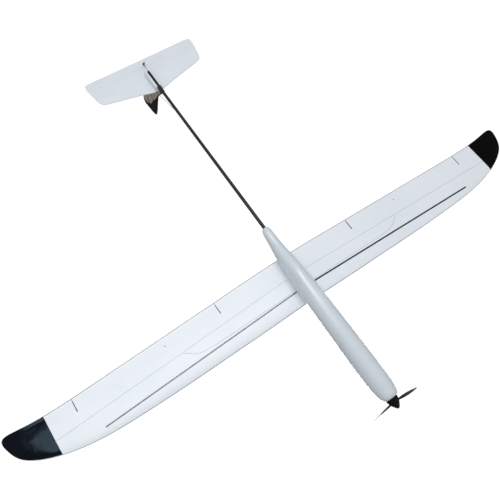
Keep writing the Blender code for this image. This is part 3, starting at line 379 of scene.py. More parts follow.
def weave(name, dark, light, pitch, axes, rough, coat=0.3, bump=0.00004, spec=0.5, blotch=0.0):
    """Cloth laminate: two crossing sets of tows; axes are the two directions they repeat along.

    blotch is how much a coarse, streaky noise shifts the colour.
    """
    mat = bpy.data.materials.new(name)
    tree, shader, coord = open_tree(mat)
    waves = []
    for axis in axes:
        dot = node(tree, "VectorMath", operation='DOT_PRODUCT')
        dot.inputs[1].default_value = Vector(axis).normalized() * (math.pi / pitch)
        tree.links.new(coord.outputs["Object"], dot.inputs[0])
        wave = node(tree, "Math", operation='SINE')
        tree.links.new(dot.outputs["Value"], wave.inputs[0])
        waves.append(wave)
    cross = node(tree, "Math", operation='MULTIPLY')
    for k in (0, 1):
        tree.links.new(waves[k].outputs[0], cross.inputs[k])
    shift = node(tree, "MapRange")
    shift.inputs["From Min"].default_value = -1.0
    tree.links.new(cross.outputs[0], shift.inputs["Value"])
    tone = ramp(tree, shift.outputs["Result"], dark, light, 0.35, 0.65)
    if blotch:
        streak = noise(tree, coord, 60.0, (1, 1.0, 0.30), 2.0)
        mixed = node(tree, "Math", operation='MULTIPLY_ADD')
        mixed.inputs[1].default_value = blotch
        tree.links.new(streak.outputs["Fac"], mixed.inputs[0])
        moved = node(tree, "Math", operation='MULTIPLY_ADD')
        moved.inputs[1].default_value, moved.inputs[2].default_value = 0.4, 0.3 - blotch / 2
        tree.links.new(shift.outputs["Result"], moved.inputs[0])
        tree.links.new(moved.outputs[0], mixed.inputs[2])
        tree.links.new(mixed.outputs[0], tone.inputs["Fac"])
    tree.links.new(tone.outputs["Color"], shader.inputs["Base Color"])
    gloss = node(tree, "MapRange")
    gloss.inputs["To Min"].default_value, gloss.inputs["To Max"].default_value = rough
    tree.links.new(shift.outputs["Result"], gloss.inputs["Value"])
    tree.links.new(gloss.outputs["Result"], shader.inputs["Roughness"])
    relief = node(tree, "Bump", Strength=1.0, Distance=bump)
    tree.links.new(shift.outputs["Result"], relief.inputs["Height"])
    tree.links.new(relief.outputs["Normal"], shader.inputs["Normal"])
    shader.inputs["Coat Weight"].default_value = coat
    shader.inputs["Coat Roughness"].default_value = 0.08
    shader.inputs["Specular IOR Level"].default_value = spec
    return mat


M = {
    "film": surface("film_white", (0.83, 0.875, 0.925), (0.875, 0.915, 0.955), 9.0, (0.26, 0.36), 0.00005,
        90.0, spec=0.45, bump_stretch=(0.35, 1, 1)),
    # The same white film as the wing, made greyer as painted shade, since the tail lies in shade.
    "tail_film_painted_shade": surface("film_white_painted_shade_tail", (0.76, 0.80, 0.85), (0.80, 0.84, 0.885), 14.0, (0.30, 0.40),
        0.00004, 120.0, spec=0.4),
    "pod": surface("gelcoat", (0.66, 0.715, 0.765), (0.72, 0.775, 0.825), 12.0, (0.20, 0.27), 0.00003,
        60.0, spec=0.5, coat=0.12, coat_rough=0.2, bump_stretch=(1, 0.25, 1)),
    # The two black tip films are lit and shaded copies of one film: the left tip's is glossier, with a
    # blue-tinted painted reflection; the right tip's is duller, painted shade.
    "tip": surface("black_film_painted_reflection", (0.002, 0.002, 0.003), (0.005, 0.006, 0.009), 20.0, (0.05, 0.09),
        0.00050, 13.0, spec=0.11, spec_tint=(0.50, 0.76, 1.0)),
    "tip_painted_shade": surface("black_film_painted_shade", (0.002, 0.002, 0.002), (0.004, 0.004, 0.005), 20.0,
        (0.20, 0.30), 0.00030, 13.0, spec=0.03),
    # Light grey painted highlight round the left tip's leading edge.
    "tip_nose_highlight": surface("film_painted_nose_highlight", (0.50, 0.52, 0.55), (0.60, 0.62, 0.65), 40.0, (0.25, 0.4), 0.00003,
        300.0),
    # Painted shade: dark grey for the band round the wing's leading edge and the lines along its trailing
    # edge, where the edges fall in shade.
    "edge": surface("film_painted_edge_shade", (0.10, 0.11, 0.13), (0.16, 0.17, 0.20), 60.0, (0.35, 0.5), 0.00002,
        500.0, spec=0.3),
    # Grey of the wing's seam and lead channels, which are real lines, and painted shade round the tailplane's
    # leading edge and along the elevator's trailing edge.
    "line": surface("film_seam_and_painted_edge_shade", (0.44, 0.48, 0.54), (0.54, 0.58, 0.64), 60.0, (0.35, 0.5), 0.00002,
        500.0),
    "gap": surface("hinge_shadow", (0.010, 0.010, 0.014), (0.022, 0.020, 0.028), 60.0, (0.5, 0.7),
        0.00002, 500.0, spec=0.2),
    "strip": surface("carbon_strip", (0.010, 0.013, 0.018), (0.022, 0.027, 0.034), 700.0, (0.12, 0.20),
        0.00001, 900.0, spec=0.5, stretch=(0.03, 1, 1), bump_stretch=(0.02, 1, 1)),
    # A lighter copy of the carbon strip, painted reflection, for the left spar strip.
    "strip_painted_reflection": surface("carbon_strip_painted_reflection", (0.075, 0.082, 0.092), (0.125, 0.135, 0.150), 700.0,
        (0.12, 0.20), 0.00001, 900.0, spec=0.5, stretch=(0.03, 1, 1), bump_stretch=(0.02, 1, 1)),
    "boom": surface("carbon_tube", (0.012, 0.011, 0.010), (0.034, 0.031, 0.028), 900.0, (0.28, 0.42),
        0.00003, 1100.0, spec=0.35, stretch=(1, 0.03, 1), bump_stretch=(1, 0.02, 1)),
    "fin": weave("carbon_cloth_brown", (0.110, 0.072, 0.050), (0.440, 0.335, 0.275), 0.0016,
        ((0, 1, 1), (0, 1, -1)), (0.30, 0.42), coat=0.1, spec=0.3, blotch=1.6),
    "fin_edge": weave("carbon_cloth_black", (0.002, 0.0015, 0.001), (0.006, 0.004, 0.003), 0.0016,
        ((0, 1, 1), (0, 1, -1)), (0.45, 0.55), coat=0.0, spec=0.02),
    "fin_foot": weave("carbon_cloth_red_brown", (0.018, 0.005, 0.006), (0.045, 0.014, 0.014), 0.0016,
        ((0, 1, 1), (0, 1, -1)), (0.40, 0.50), coat=0.0, spec=0.1),
    "spinner": surface("nylon_black", (0.002, 0.002, 0.002), (0.005, 0.005, 0.005), 30.0, (0.10, 0.16),
        0.00001, 900.0, spec=0.13),
    "blade": surface("blade_black", (0.003, 0.003, 0.003), (0.008, 0.008, 0.008), 60.0, (0.18, 0.28),
        0.00002, 1200.0, spec=0.25),
    "rod": surface("carbon_rod", (0.006, 0.006, 0.006), (0.014, 0.014, 0.014), 900.0, (0.45, 0.6),
        0.00001, 1500.0, spec=0.15, stretch=(1, 0.03, 1), bump_stretch=(1, 0.02, 1)),
    "horn": surface("horn_black", (0.012, 0.012, 0.013), (0.030, 0.030, 0.032), 200.0, (0.35, 0.5),
        0.00002, 1500.0),
    "nylon": surface("nylon_white", (0.66, 0.66, 0.63), (0.74, 0.74, 0.71), 120.0, (0.38, 0.5), 0.00002,
        1400.0),
    "steel": surface("steel_bright", (0.42, 0.42, 0.43), (0.58, 0.58, 0.60), 300.0, (0.22, 0.36), 0.00001,
        2000.0, metallic=1.0),
    "case": surface("servo_case", (0.018, 0.020, 0.028), (0.032, 0.034, 0.044), 150.0, (0.3, 0.42),
        0.00002, 1800.0),
    "wrap": surface("battery_wrap", (0.020, 0.060, 0.210), (0.035, 0.090, 0.280), 60.0, (0.22, 0.36),
        0.0001, 160.0, coat=0.3),
    "strap": weave("strap_webbing", (0.010, 0.010, 0.010), (0.040, 0.040, 0.042), 0.0008,
        ((1, 1, 0), (1, -1, 0)), (0.8, 0.95), coat=0.0, bump=0.0001),
    "ply": surface("birch_ply", (0.42, 0.29, 0.16), (0.66, 0.50, 0.31), 60.0, (0.55, 0.75), 0.00004,
        500.0, stretch=(1, 0.12, 1), bump_stretch=(1, 0.1, 1)),
    "plate": weave("glass_plate", (0.014, 0.015, 0.014), (0.035, 0.037, 0.035), 0.0006,
        ((1, 0, 0), (0, 0, 1)), (0.35, 0.5)),
    "can": surface("anodised", (0.055, 0.056, 0.062), (0.085, 0.086, 0.093), 200.0, (0.20, 0.30), 0.00001,
        2500.0, metallic=1.0, bump_stretch=(1, 0.05, 1)),
    "copper": surface("copper_winding", (0.42, 0.16, 0.06), (0.62, 0.28, 0.12), 900.0, (0.25, 0.4),
        0.00006, 1500.0, metallic=1.0, stretch=(1, 0.1, 1)),
    "dark": surface("wire_black", (0.010, 0.010, 0.010), (0.022, 0.022, 0.022), 200.0, (0.4, 0.55),
        0.00001, 1500.0),
}


def dress(obj, body, slot, *mats, stands_for=()):
    """Material, body and the CAD nodes it stands for; the slot argument is not used."""
    slots = obj.data.materials
    for k, mat in enumerate(mats):
        if k < len(slots):
            slots[k] = M[mat]
        else:
            slots.append(M[mat])
    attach(obj, body)
    if stands_for:
        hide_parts(*stands_for)


def paint(name, mat, bevel=0.0, segments=2):
    """Keeps a CAD node's shape, rounds its edges a little and gives it a finish."""
    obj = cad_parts[name]
    obj.data.materials.clear()
    obj.data.materials.append(M[mat])
    if bevel:
        mod = obj.modifiers.new("edges", 'BEVEL')
        mod.width, mod.segments, mod.limit_method = bevel, segments, 'ANGLE'
        mod.angle_limit = math.radians(40)
        mod.harden_normals = True


# ---------------------------------------------------------------- wing
REAR_STEPS, FRONT_STEPS = 8, 20
TIP_FRACTION = (hinge_y(TIP_START) - wing_le(TIP_START)) / (wing_te(TIP_START) - wing_le(TIP_START))


def split_y(x):
    front, rear = wing_le(abs(x)), wing_te(abs(x))
    return hinge_y(x) if abs(x) <= TIP_START else front + TIP_FRACTION * (rear - front)


def wing_ring(x, bay=False):
    """Section as points: trailing edge, forward along the top, back along the bottom.

    In an aileron's bay the section ends in a flat wall in front of the hinge line.
    """
    front, rear, split = wing_le(abs(x)), wing_te(abs(x)), split_y(x)
    back = [rear - (rear - split) * j / REAR_STEPS for j in range(REAR_STEPS + 1)]
    fore = bunched(split, front, FRONT_STEPS)[1:]
    top = [(x, y, wing_z(x, y, 1)) for y in back + fore]
    low = [(x, y, wing_z(x, y, -1)) for y in fore[-2::-1] + back[::-1]]
    if bay:
        y = split - GAP / 2
        high_z, low_z = wing_z(x, split, 1), wing_z(x, split, -1)
        middle = (high_z + low_z) / 2
        for j in range(REAR_STEPS):
            t = j / REAR_STEPS
            top[j] = (x, y, middle + (high_z - middle) * t)
            low[-1 - j] = (x, y, middle + (low_z - middle) * t)
    return top + low


def around_nose(before, after):
    """Picks the second finish for the faces round a wing section's leading edge: a band of painted shade on
    the wing and the right tip, of painted highlight on the left tip.
    """
    nose = REAR_STEPS + FRONT_STEPS
    return lambda ring, point: 1 if -before <= point - nose <= after else 0


def wing_stations():
    """Distances of the sections from the middle, and whether each is in the aileron's bay."""
    inner, outer = AILERON_IN[0] - AILERON_END_GAP, AILERON_OUT[0] + AILERON_END_GAP
    half = [(x, False) for x in np.linspace(0.0, inner, 13)]
    half += [(x, True) for x in np.linspace(inner, outer, 25)]
    half += [(x, False) for x in np.linspace(outer, TIP_START - GAP / 2, 6)]
    return half


def make_wing():
    half = wing_stations()
    rings = [wing_ring(-x, bay) for x, bay in reversed(half[1:])] + [wing_ring(x, bay) for x, bay in half]
    # The band round the leading edge takes the second finish, painted shade.
    wing = skin("wing_skin", rings, sharp=28.0, mat_of=around_nose(2, 1))
    wing.data.materials.append(M["film"])
    wing.data.materials.append(M["edge"])
    tools = []
    for sign in (1, -1):
        for near, far, front, rear in POCKETS:
            xs = sorted((sign * near, sign * far))
            tools.append(block("tool", (xs[0], SERVO_Y - front, POCKET_FLOOR_Z),
                               (xs[1], SERVO_Y + rear, POCKET_TOP_Z), 0.0004, 1))
    carve(wing, *tools)
    dress(wing, "airframe", "wing_film", "film", "edge", stands_for=("wing",))

    start = TIP_START + GAP / 2
    for sign, side in SIDES:
        xs = bunched(start, HALF_SPAN, 26)
        tip = skin("tip_" + side, [wing_ring(sign * x) for x in xs], sharp=40.0, mat_of=around_nose(3, 2))
        # Left tip: glossy film with painted reflection and a light grey painted highlight round its leading
        # edge; right tip: dull film with near-black painted shade there.
        looks = ("tip", "tip_nose_highlight") if sign > 0 else ("tip_painted_shade", "gap")
        dress(tip, "airframe", "tip_black", *looks, stands_for=("wing_tip_" + side,))


def surface_strip(name, path, width, height, sink=0.00025):
    """Thin strip that lies on the wing's lower skin along a path of (x, y) points."""
    rings = []
    for k, (x, y) in enumerate(path):
        x0, y0 = path[max(k - 1, 0)]
        x1, y1 = path[min(k + 1, len(path) - 1)]
        run = Vector((x1 - x0, y1 - y0)).normalized()
        across = Vector((-run.y, run.x))
        ring = []
        for u, h in ((-0.5, -sink), (-0.5, height * 0.4), (-0.25, height),
                     (0.25, height), (0.5, height * 0.4), (0.5, -sink)):
            px, py = x + across.x * u * width, y + across.y * u * width
            ring.append((px, py, wing_z(px, py, -1) - h))
        rings.append(ring)
    return skin(name, rings, sharp=60.0)


def straight(start, end, count):
    return [(start[0] + (end[0] - start[0]) * k / count, start[1] + (end[1] - start[1]) * k / count)
            for k in range(count + 1)]


def mirrored(path, sign):
    return [(sign * x, y) for x, y in path]


def make_wing_details():
    for sign, side in SIDES:
        spar_path = mirrored(straight(SPAR_ROOT, SPAR_END, 60), sign)
        spar = surface_strip("spar_strip_" + side, spar_path, SPAR_WIDTH - SPAR_TRIM[side], SPAR_PROUD)
        # The left strip takes the lighter copy, painted reflection; the right keeps the dark carbon.
        dress(spar, "airframe", "carbon_strip", "strip_painted_reflection" if sign > 0 else "strip",
              stands_for=("spar_" + side,))
        seam_path = mirrored(straight(SEAM_ROOT, SEAM_END, 60), sign)
        seam = surface_strip("mid_seam_" + side, seam_path, SEAM_WIDTH, SEAM_PROUD)
        dress(seam, "airframe", "wing_film", "line")
        lead_path = mirrored([tuple(p) for p in spline(LEAD_PATH, 6)], sign)
        lead = surface_strip("lead_channel_" + side, lead_path, LEAD_WIDTH, SEAM_PROUD)
        dress(lead, "airframe", "wing_film", "line")
        # Dark lines of painted shade along the trailing edge, on the wing and on each aileron.
        start, end = AILERON_IN[0] - AILERON_END_GAP, AILERON_OUT[0] + AILERON_END_GAP
        lines = (("root", "airframe", 0.001, start - 0.0002),
                 ("mid", "aileron_" + side, AILERON_IN[0] + 0.002, AILERON_OUT[0] - 0.002),
                 ("outer", "airframe", end + 0.0002, TIP_START - 0.001))
        for part, body, first, last in lines:
            path = [(sign * x, wing_te(x) - EDGE_SHADE_LINE_INSET) for x in np.linspace(first, last, 24).tolist()]
            edge = surface_strip("edge_shade_line_%s_%s" % (part, side), path, EDGE_SHADE_LINE_WIDTH, EDGE_SHADE_LINE_PROUD)
            dress(edge, body, "wing_film", "edge")


def aileron_ring(x, steps=9):
    """Aileron's section: forward along the top, down the leaned front, back along the bottom."""
    split, rear = hinge_y(x) + GAP / 2, wing_te(x)
    high, low = wing_z(x, split + 0.001, 1), wing_z(x, split, -1)
    shoulder = split + math.tan(AILERON_LEAN) * (high - AILERON_Z)
    shoulder_z = wing_z(x, shoulder, 1)
    ring = []
    for j in range(steps + 1):
        y = rear - (rear - shoulder - 0.0005) * j / steps
        ring.append((x, y, wing_z(x, y, 1)))
    ring.append((x, shoulder + 0.00015, shoulder_z - 0.00012))
    ring.append((x, shoulder - 0.00010, shoulder_z - 0.00055))
    ring.append((x, split, AILERON_Z))
    ring.append((x, split, low + 0.00025))
    ring.append((x, split + 0.00025, wing_z(x, split + 0.00025, -1)))
    for j in range(steps + 1):
        y = split + 0.0006 + (rear - split - 0.0006) * j / steps
        ring.append((x, y, wing_z(x, y, -1)))
    return ring


def end_cap_rings(x, step, steps=8):
    """Two outlines of an aileron's end, one a little inside it and one in the gap beside it."""
    front, rear = hinge_y(x) + 0.0004, wing_te(x) - 0.0001
    shoulder = front + math.tan(AILERON_LEAN) * (wing_z(x, front, 1) - AILERON_Z) + 0.0004
    rings = []
    for at in (x - step * 0.2, x + step):
        low = [front + (rear - front) * j / steps for j in range(steps + 1)]
        high = [shoulder + (rear - shoulder) * j / steps for j in range(steps, -1, -1)]
        ring = [(at, y, wing_z(x, y, -1) - 0.00003) for y in low]
        ring += [(at, y, wing_z(x, y, 1) - 0.0002) for y in high]
        rings.append(ring)
    return rings


def mirrored_rings(rings, sign):
    return [[(sign * x, y, z) for x, y, z in ring] for ring in rings]


def make_ailerons():
    for sign, side in SIDES:
        rings = [aileron_ring(x) for x in np.linspace(AILERON_IN[0], AILERON_OUT[0], 31).tolist()]
        aileron = skin("aileron_skin_" + side, mirrored_rings(rings, sign), sharp=28.0)
        dress(aileron, "aileron_" + side, "wing_film", "film", stands_for=("aileron_" + side,))
        for end, x, step in (("inner", AILERON_IN[0], END_CAP), ("outer", AILERON_OUT[0], -END_CAP)):
            rings = mirrored_rings(end_cap_rings(x, step), sign)
            cap = skin("aileron_end_%s_%s" % (end, side), rings, sharp=30.0)
            dress(cap, "aileron_" + side, "wing_film", "gap")


# ---------------------------------------------------------------- pod
def pod_ring(y, shrink=0.0, sides=64):
    a, b, c = pod_at(y, 1) - shrink, pod_at(y, 2) - shrink, pod_at(y, 3)
    turns = [2 * math.pi * (k + 0.5) / sides for k in range(sides)]
    return [(a * math.sin(t), y, c - b * math.cos(t)) for t in turns]


def pod_stations(first, last):
    nose = [POD[0][0] + POD_NOSE_LENGTH * (k / 10) ** 1.6 for k in range(11)]
    body = list(np.linspace(*POD_BODY, 75))[1:]
    tail = [POD[-1][0] - POD_TAIL_LENGTH * (1 - k / 12) ** 1.4 for k in range(1, 13)]
    inside = [y for y in nose + body + tail if first + 1e-5 < y < last - 1e-5]
    return [first] + inside + [last]


def pod_solid(name, shrink=0.0, first=POD[0][0], last=POD[-1][0]):
    return skin(name, [pod_ring(float(y), shrink) for y in pod_stations(first, last)])


def hatch_box(clear):
    return block("tool", (-0.04, HATCH_FRONT + clear, HATCH_SILL + clear), (0.04, HATCH_REAR - clear, 0.09),
                 1e-5, 1)


def make_pod():
    shell = pod_solid("pod_skin")
    carve(shell, pod_solid("tool", POD_WALL, *POD_INSIDE),
          skin("tool", [circle((0, y, THRUST_Z), (0, 1, 0), NOSE_HOLE_R, 48) for y in NOSE_HOLE_Y]),
          skin("tool", [circle((0, y, BOOM_Z), (0, 1, 0), BOOM_R_FRONT + GAP, 40) for y in BOOM_HOLE_Y]),
          hatch_box(0.0))
    dress(shell, "airframe", "pod_gelcoat", "pod", stands_for=("pod_shell",))

    hatch = pod_solid("hatch_skin")
    carve(hatch, pod_solid("tool", POD_WALL, *POD_INSIDE))
    carve(hatch, hatch_box(GAP), operation='INTERSECT')
    dress(hatch, "hatch", "pod_gelcoat", "pod", stands_for=("hatch",))


# ---------------------------------------------------------------- boom and tail
def tail_half(f, half):
    """Half the thickness at the fraction f of the chord, where half is the greatest."""
    return half * half_thickness(f, 1.0) / half_thickness(0.30, 1.0)


def make_boom():
    rows = 40
    profile = []
    for k in range(rows):
        t = k / rows
        y = BOOM_FRONT + t * (BOOM_REAR - BOOM_FRONT)
        profile.append((y, BOOM_R_FRONT + t * (BOOM_R_REAR - BOOM_R_FRONT)))
    profile += [(BOOM_REAR - BOOM_END_ROUND, BOOM_R_REAR), (BOOM_REAR, BOOM_R_REAR - BOOM_END_ROUND),
                (BOOM_REAR, BOOM_BORE), (BOOM_FRONT, BOOM_BORE)]
    boom = lathe("boom_tube", profile, BOOM_Z, 40)
    carve(boom, block("tool", *ROD_SLOT, 0.0006, 2))
    dress(boom, "airframe", "boom_carbon", "boom", stands_for=("boom",))

    clamp = lathe("clamp_ring", CLAMP, BOOM_Z, 40)
    dress(clamp, "airframe", "boom_carbon", "boom", stands_for=("tail_clamp",))


def stab_point(x, y, side):
    """Point on the tailplane's upper (+1) or lower (-1) face; the elevator carries the same section on."""
    front, rear = stab_le(abs(x)), stab_te(abs(x))
    f = min(max((y - front) / (rear - front), 0.0), 1.0)
    half = max(tail_half(f, STAB_THICKNESS / 2 * (rear - front)), EDGE_HALF if f > 0.05 else 0.0)
    return x, y, STAB_Z + side * half


def make_tailplane():
    split, steps = ELEVATOR_Y - GAP / 2, 16
    rings = []
    for x in both_sides(STAB_REACH, 36):
        ys = bunched(split, stab_le(abs(x)), steps)
        rings.append([stab_point(x, y, 1) for y in ys] + [stab_point(x, y, -1) for y in ys[-2::-1]])
    # The faces round the leading edge take the grey line finish: painted shade.
    stab = skin("stab_skin", rings, sharp=35.0,
                mat_of=lambda ring, point: 1 if abs(point + 0.5 - steps) < 2 else 0)
    # The tailplane's film is the greyer copy of the wing's: painted shade.
    dress(stab, "airframe", "wing_film", "tail_film_painted_shade", "line", stands_for=("stabiliser",))

    front = ELEVATOR_Y + GAP / 2
    rings = []
    for x in both_sides(ELEVATOR_REACH, 36):
        rear, nose = stab_te(abs(x)), max(front, stab_le(abs(x)) + 0.0020)
        high = max(stab_point(x, nose + 0.0005, 1)[2], STAB_Z + EDGE_HALF)
        low_z = min(stab_point(x, nose, -1)[2], STAB_Z - EDGE_HALF)
        shoulder = nose + math.tan(ELEVATOR_LEAN) * (high - ELEVATOR_Z)
        top = [rear - (rear - shoulder - 0.0003) * t for t in ELEVATOR_ROWS]
        low = [nose + 0.0003 + (rear - nose - 0.0003) * (1 - t) for t in ELEVATOR_ROWS[::-1]]
        ring = [stab_point(x, y, 1) for y in top]
        ring += [(x, shoulder - 0.00005, high - 0.0003), (x, nose, min(ELEVATOR_Z, high - 0.0006))]
        ring += [(x, nose, low_z + 0.0002)]
        ring += [stab_point(x, y, -1) for y in low]
        rings.append(ring)
    last = len(rings[0])
    # The faces at the trailing edge take the grey line finish: painted shade.
    elevator = skin("elevator_skin", rings, sharp=28.0,
                    mat_of=lambda ring, point: 1 if point == 0 or point >= last - 2 else 0)
    # The elevator's film is the same greyer copy: painted shade.
    dress(elevator, "elevator", "wing_film", "tail_film_painted_shade", "line", stands_for=("elevator",))


def fin_half(z):
    return FIN_THICKNESS / 2 * (0.75 + 0.25 * min(1.0, (0.2225 - z) / 0.15))


def axis_y(z):
    """The rudder's hinge line at height z."""
    foot, top = RUDDER_AXIS
    return foot[0] + (z - foot[1]) / (top[1] - foot[1]) * (top[0] - foot[0])


def fin_points(z, ys, side, le=None, te=None):
    """Points along one face of the fin at height z; le and te stand in for its own front and rear."""
    front = fin_le(z) if le is None else le
    rear = fin_te(z) if te is None else te
    row = []
    for y in ys:
        f = min(max((y - front) / (rear - front), 0.0), 1.0)
        h = max(tail_half(f, fin_half(z)), EDGE_HALF if f > 0.05 else 0.0)
        row.append((side * h, y, z))
    return row


def fin_ring(z, ys, **ends):
    return fin_points(z, ys, 1, **ends) + fin_points(z, ys[-2::-1], -1, **ends)


def rising(low, rows=34):
    """Heights from low to the top of the fin, closer together near the top."""
    return [low + (FIN_TOP_Z - low) * (1 - (1 - k / rows) ** 1.5) for k in range(rows + 1)]


def make_fin():
    rings, steps, brown = [], 20, 8
    for z in rising(STAB_TOP_Z):
        split = axis_y(z) - GAP
        front = min(fin_le(z), split - 0.003)
        paint_edge = min(front + black_width(z), split - 0.0008)
        ys = [split + (paint_edge - split) * k / brown for k in range(brown)]
        ys += bunched(paint_edge, front, steps - brown)
        rings.append(fin_ring(z, ys, le=front))

    def fin_finish(ring, point):
        behind = point < brown or point >= 2 * steps - brown
        return 0 if behind and rings[ring][0][2] < RUDDER_BLACK_Z else 1
    fin = skin("fin_skin", rings, sharp=35.0, mat_of=fin_finish)
    dress(fin, "airframe", "fin_carbon", "fin", "fin_edge", stands_for=("fin",))

    foot = []
    for z in (*FIN_FOOT_ROWS, STAB_TOP_Z - 0.0002, STAB_TOP_Z + 0.0002):
        foot.append(fin_ring(z, bunched(FIN_FOOT_Y, fin_le(z), steps), te=FIN_FOOT_Y))
    root = skin("fin_foot", foot, sharp=35.0)
    dress(root, "airframe", "fin_carbon", "fin_foot")

    rows = []
    for z in rising(RUDDER_FOOT):
        split, rear = axis_y(z) + GAP, fin_te(z)
        wide = abs(fin_points(z, [split], 1)[0][0])
        shoulder = split + math.tan(RUDDER_LEAN) * wide
        ys = [shoulder + (rear - shoulder) * k / 12 for k in range(13)]
        rows.append([(0.0, split, z)] + fin_points(z, ys, 1) + fin_points(z, ys[::-1], -1))
    rudder = skin("rudder_skin", rows, sharp=28.0,
                  mat_of=lambda ring, point: 1 if rows[ring][point][2] > RUDDER_BLACK_Z else 0)
    dress(rudder, "rudder", "fin_carbon", "fin", "fin_edge", stands_for=("rudder",))


# ---------------------------------------------------------------- propeller
def make_spinner():
    outer, inner = spline(SPINNER_OUTER, 5), spline(SPINNER_INNER, 4)
    profile = [tuple(p) for p in outer] + [SPINNER_INNER_TIP] + [tuple(p) for p in inner]
    spinner = lathe("spinner_shell", profile, THRUST_Z, 72)
    tools = []
    for sign in (1, -1):
        low_x, high_x = sorted(sign * x for x in SPINNER_SLOT_X)
        tools.append(block("tool", (low_x, SPINNER_SLOT_Y[0], THRUST_Z - SPINNER_SLOT_HALF),
                           (high_x, SPINNER_SLOT_Y[1], THRUST_Z + SPINNER_SLOT_HALF), 0.0010, 3))
    carve(spinner, *tools)
    dress(spinner, "propeller", "spinner_black", "spinner", stands_for=("spinner",))


def blade_ring(sign, s, chord, thick, pitch):
    """Cambered blade section at the distance s from its pin."""
    angle = math.radians(pitch)
    center = Vector((sign * (BLADE_PIN[0] + s * math.cos(BLADE_CONE)),
                     BLADE_PIN[1] - s * math.sin(BLADE_CONE), THRUST_Z))
    wide = Vector((0, math.sin(angle), -sign * math.cos(angle)))
    flat = Vector((0, math.cos(angle), sign * math.sin(angle)))
    ring = []
    for k in range(BLADE_SIDES):
        turn = 2 * math.pi * k / BLADE_SIDES
        u = math.cos(turn)
        thin = 0.5 * math.sin(turn) * (1.0 - 0.35 * u)
        arch = BLADE_ARCH * min(1.0, s / ARCH_FROM) * (1 - u * u)
        ring.append(center + wide * (chord / 2 * u) + flat * (thick * (thin - arch)))
    return ring


def make_lug(sign, side):
    """Ring of the blade's root round its pin."""
    bm = bmesh.new()
    turns = [2 * math.pi * k / LUG_SIDES for k in range(LUG_SIDES)]
    rows = []
    for r, h in LUG:
        rows.append([bm.verts.new((sign * BLADE_PIN[0] + r * math.cos(turn),
                                   BLADE_PIN[1] + r * math.sin(turn), THRUST_Z + h)) for turn in turns])
    join_rows(bm, rows)
    lug = finish_mesh("blade_lug_" + side, bm)
    dress(lug, "blade_" + side, "blade_black", "blade")


def make_blades():
    dense = spline(BLADE, 5).tolist()
    for sign, side in SIDES:
        blade = skin("blade_skin_" + side, [blade_ring(sign, *row) for row in dense], sharp=50.0)
        dress(blade, "blade_" + side, "blade_black", "blade", stands_for=("blade_" + side,))
        make_lug(sign, side)


# ---------------------------------------------------------------- pieces that keep their CAD shape
# material, rounding of the edges, CAD nodes
SMALL_PARTS = [
    ("horn", 0.00012, "aileron_horn_left aileron_horn_right elevator_horn rudder_horn"),
    ("nylon", 0.00015, "aileron_arm_left aileron_arm_right elevator_arm rudder_arm"),
    ("nylon", 0.0003, "wing_bolt_front wing_bolt_rear"),
    ("steel", 0.0, "aileron_rod_left aileron_rod_right"),
    ("steel", 0.0001, "motor_screw_left motor_screw_right blade_pin_left blade_pin_right motor_shaft"),
    ("steel", 0.0002, "hatch_magnet_front hatch_magnet_rear"),
    ("rod", 0.0, "elevator_rod rudder_rod"),
    ("case", 0.0003, "aileron_servo_left aileron_servo_right elevator_servo rudder_servo receiver"),
    ("can", 0.0003, "motor_bell prop_yoke"),
    ("copper", 0.0002, "motor_stator"),
    ("spinner", 0.0001, "spinner_backplate"),
    ("plate", 0.0001, "firewall"),
    ("ply", 0.0, "servo_tray wing_block boom_former"),
    ("wrap", 0.0003, "battery"),
    ("strap", 0.0002, "battery_strap"),
    ("dark", 0.0003, "speed_controller"),
]


def paint_small_parts():
    for mat, bevel, names in SMALL_PARTS:
        for name in names.split():
            paint(name, mat, bevel)
    # The tail pylon takes the greyer tail film, painted shade.
    paint("stab_pylon", "tail_film_painted_shade", 0.0005, 3)


# ---------------------------------------------------------------- stage
def area_light(name, place, aim, size, power, color=(1, 1, 1)):
    """Soft box of (width, height), turned so that its width lies along X."""
    data = bpy.data.lights.new(name, 'AREA')
    data.shape, data.size, data.size_y, data.energy, data.color = 'RECTANGLE', *size, power, color
    light = bpy.data.objects.new(name, data)
    back = (Vector(place) - Vector(aim)).normalized()
    up = back.cross(Vector((1, 0, 0))).normalized()
    turn = Matrix((up.cross(back), up, back)).transposed().to_4x4()
    light.matrix_world = Matrix.Translation(place) @ turn
    light.visible_camera = False
    bpy.context.scene.collection.objects.link(light)


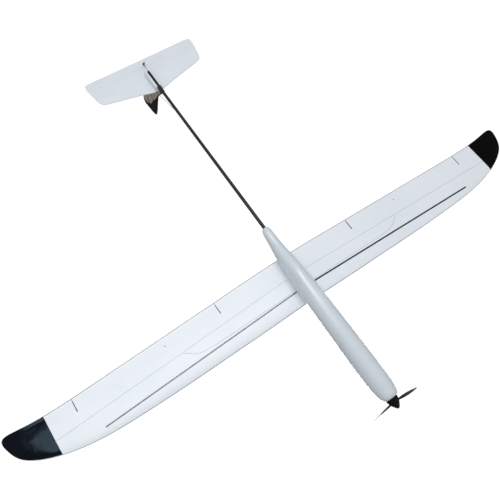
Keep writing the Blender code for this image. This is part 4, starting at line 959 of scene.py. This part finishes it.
def make_stage():
    bm = bmesh.new()
    bmesh.ops.create_grid(bm, x_segments=2, y_segments=2, size=FLOOR_HALF)
    for v in bm.verts:
        v.co.z = FLOOR_Z
    floor = finish_mesh("studio_floor", bm)
    mat = surface("floor_paint", (0.80, 0.80, 0.80), (0.83, 0.83, 0.83), 0.6, (0.7, 0.8), 0.0, 1.0)
    floor.data.materials.append(mat)
    make_world()
    area_light("below", (0.30, 0.20, -2.1), (0.30, 0.20, 0.0), (1.9, 0.45), 20.0, (0.96, 0.98, 1.0))
    area_light("above", (-1.8, -1.5, 8.0), (0.0, 0.0, 0.0), (5.0, 5.0), 440.0)


def make_world():
    """White backdrop for the camera, and a soft grey surround, brighter above, that lights the model."""
    world = bpy.data.worlds.new("studio")
    bpy.context.scene.world = world
    world.use_nodes = True
    tree = world.node_tree
    tree.nodes.clear()
    out = node(tree, "OutputWorld")
    seen = node(tree, "Background")
    seen.inputs["Color"].default_value = (1.0, 1.0, 1.0, 1.0)
    seen.inputs["Strength"].default_value = 1.05
    lit = node(tree, "Background")
    lit.inputs["Strength"].default_value = 1.0
    coord = node(tree, "TexCoord")
    split = node(tree, "SeparateXYZ")
    tree.links.new(coord.outputs["Generated"], split.inputs[0])
    shade = ramp(tree, split.outputs["Z"], (0.26, 0.26, 0.27), (0.42, 0.43, 0.44), 0.0, 0.8)
    tree.links.new(shade.outputs["Color"], lit.inputs["Color"])
    path = node(tree, "LightPath")
    mix = node(tree, "MixShader")
    tree.links.new(path.outputs["Is Camera Ray"], mix.inputs["Fac"])
    tree.links.new(lit.outputs[0], mix.inputs[1])
    tree.links.new(seen.outputs[0], mix.inputs[2])
    tree.links.new(mix.outputs[0], out.inputs["Surface"])


def make_camera():
    data = bpy.data.cameras.new("camera")
    data.sensor_width, data.lens = SENSOR_MM, LENS_MM
    data.clip_start, data.clip_end = 0.01, 200.0
    camera = bpy.data.objects.new("camera", data)
    bpy.context.scene.collection.objects.link(camera)
    turn = Matrix((CAMERA_RIGHT, CAMERA_UP, CAMERA_BACK)).transposed().to_4x4()
    camera.matrix_world = Matrix.Translation(CAMERA_PLACE) @ turn
    bpy.context.scene.camera = camera
    bpy.context.scene.view_settings.view_transform = 'Standard'


make_wing()
make_wing_details()
make_ailerons()
make_pod()
make_boom()
make_tailplane()
make_fin()
make_spinner()
make_blades()
paint_small_parts()
make_stage()
make_camera()
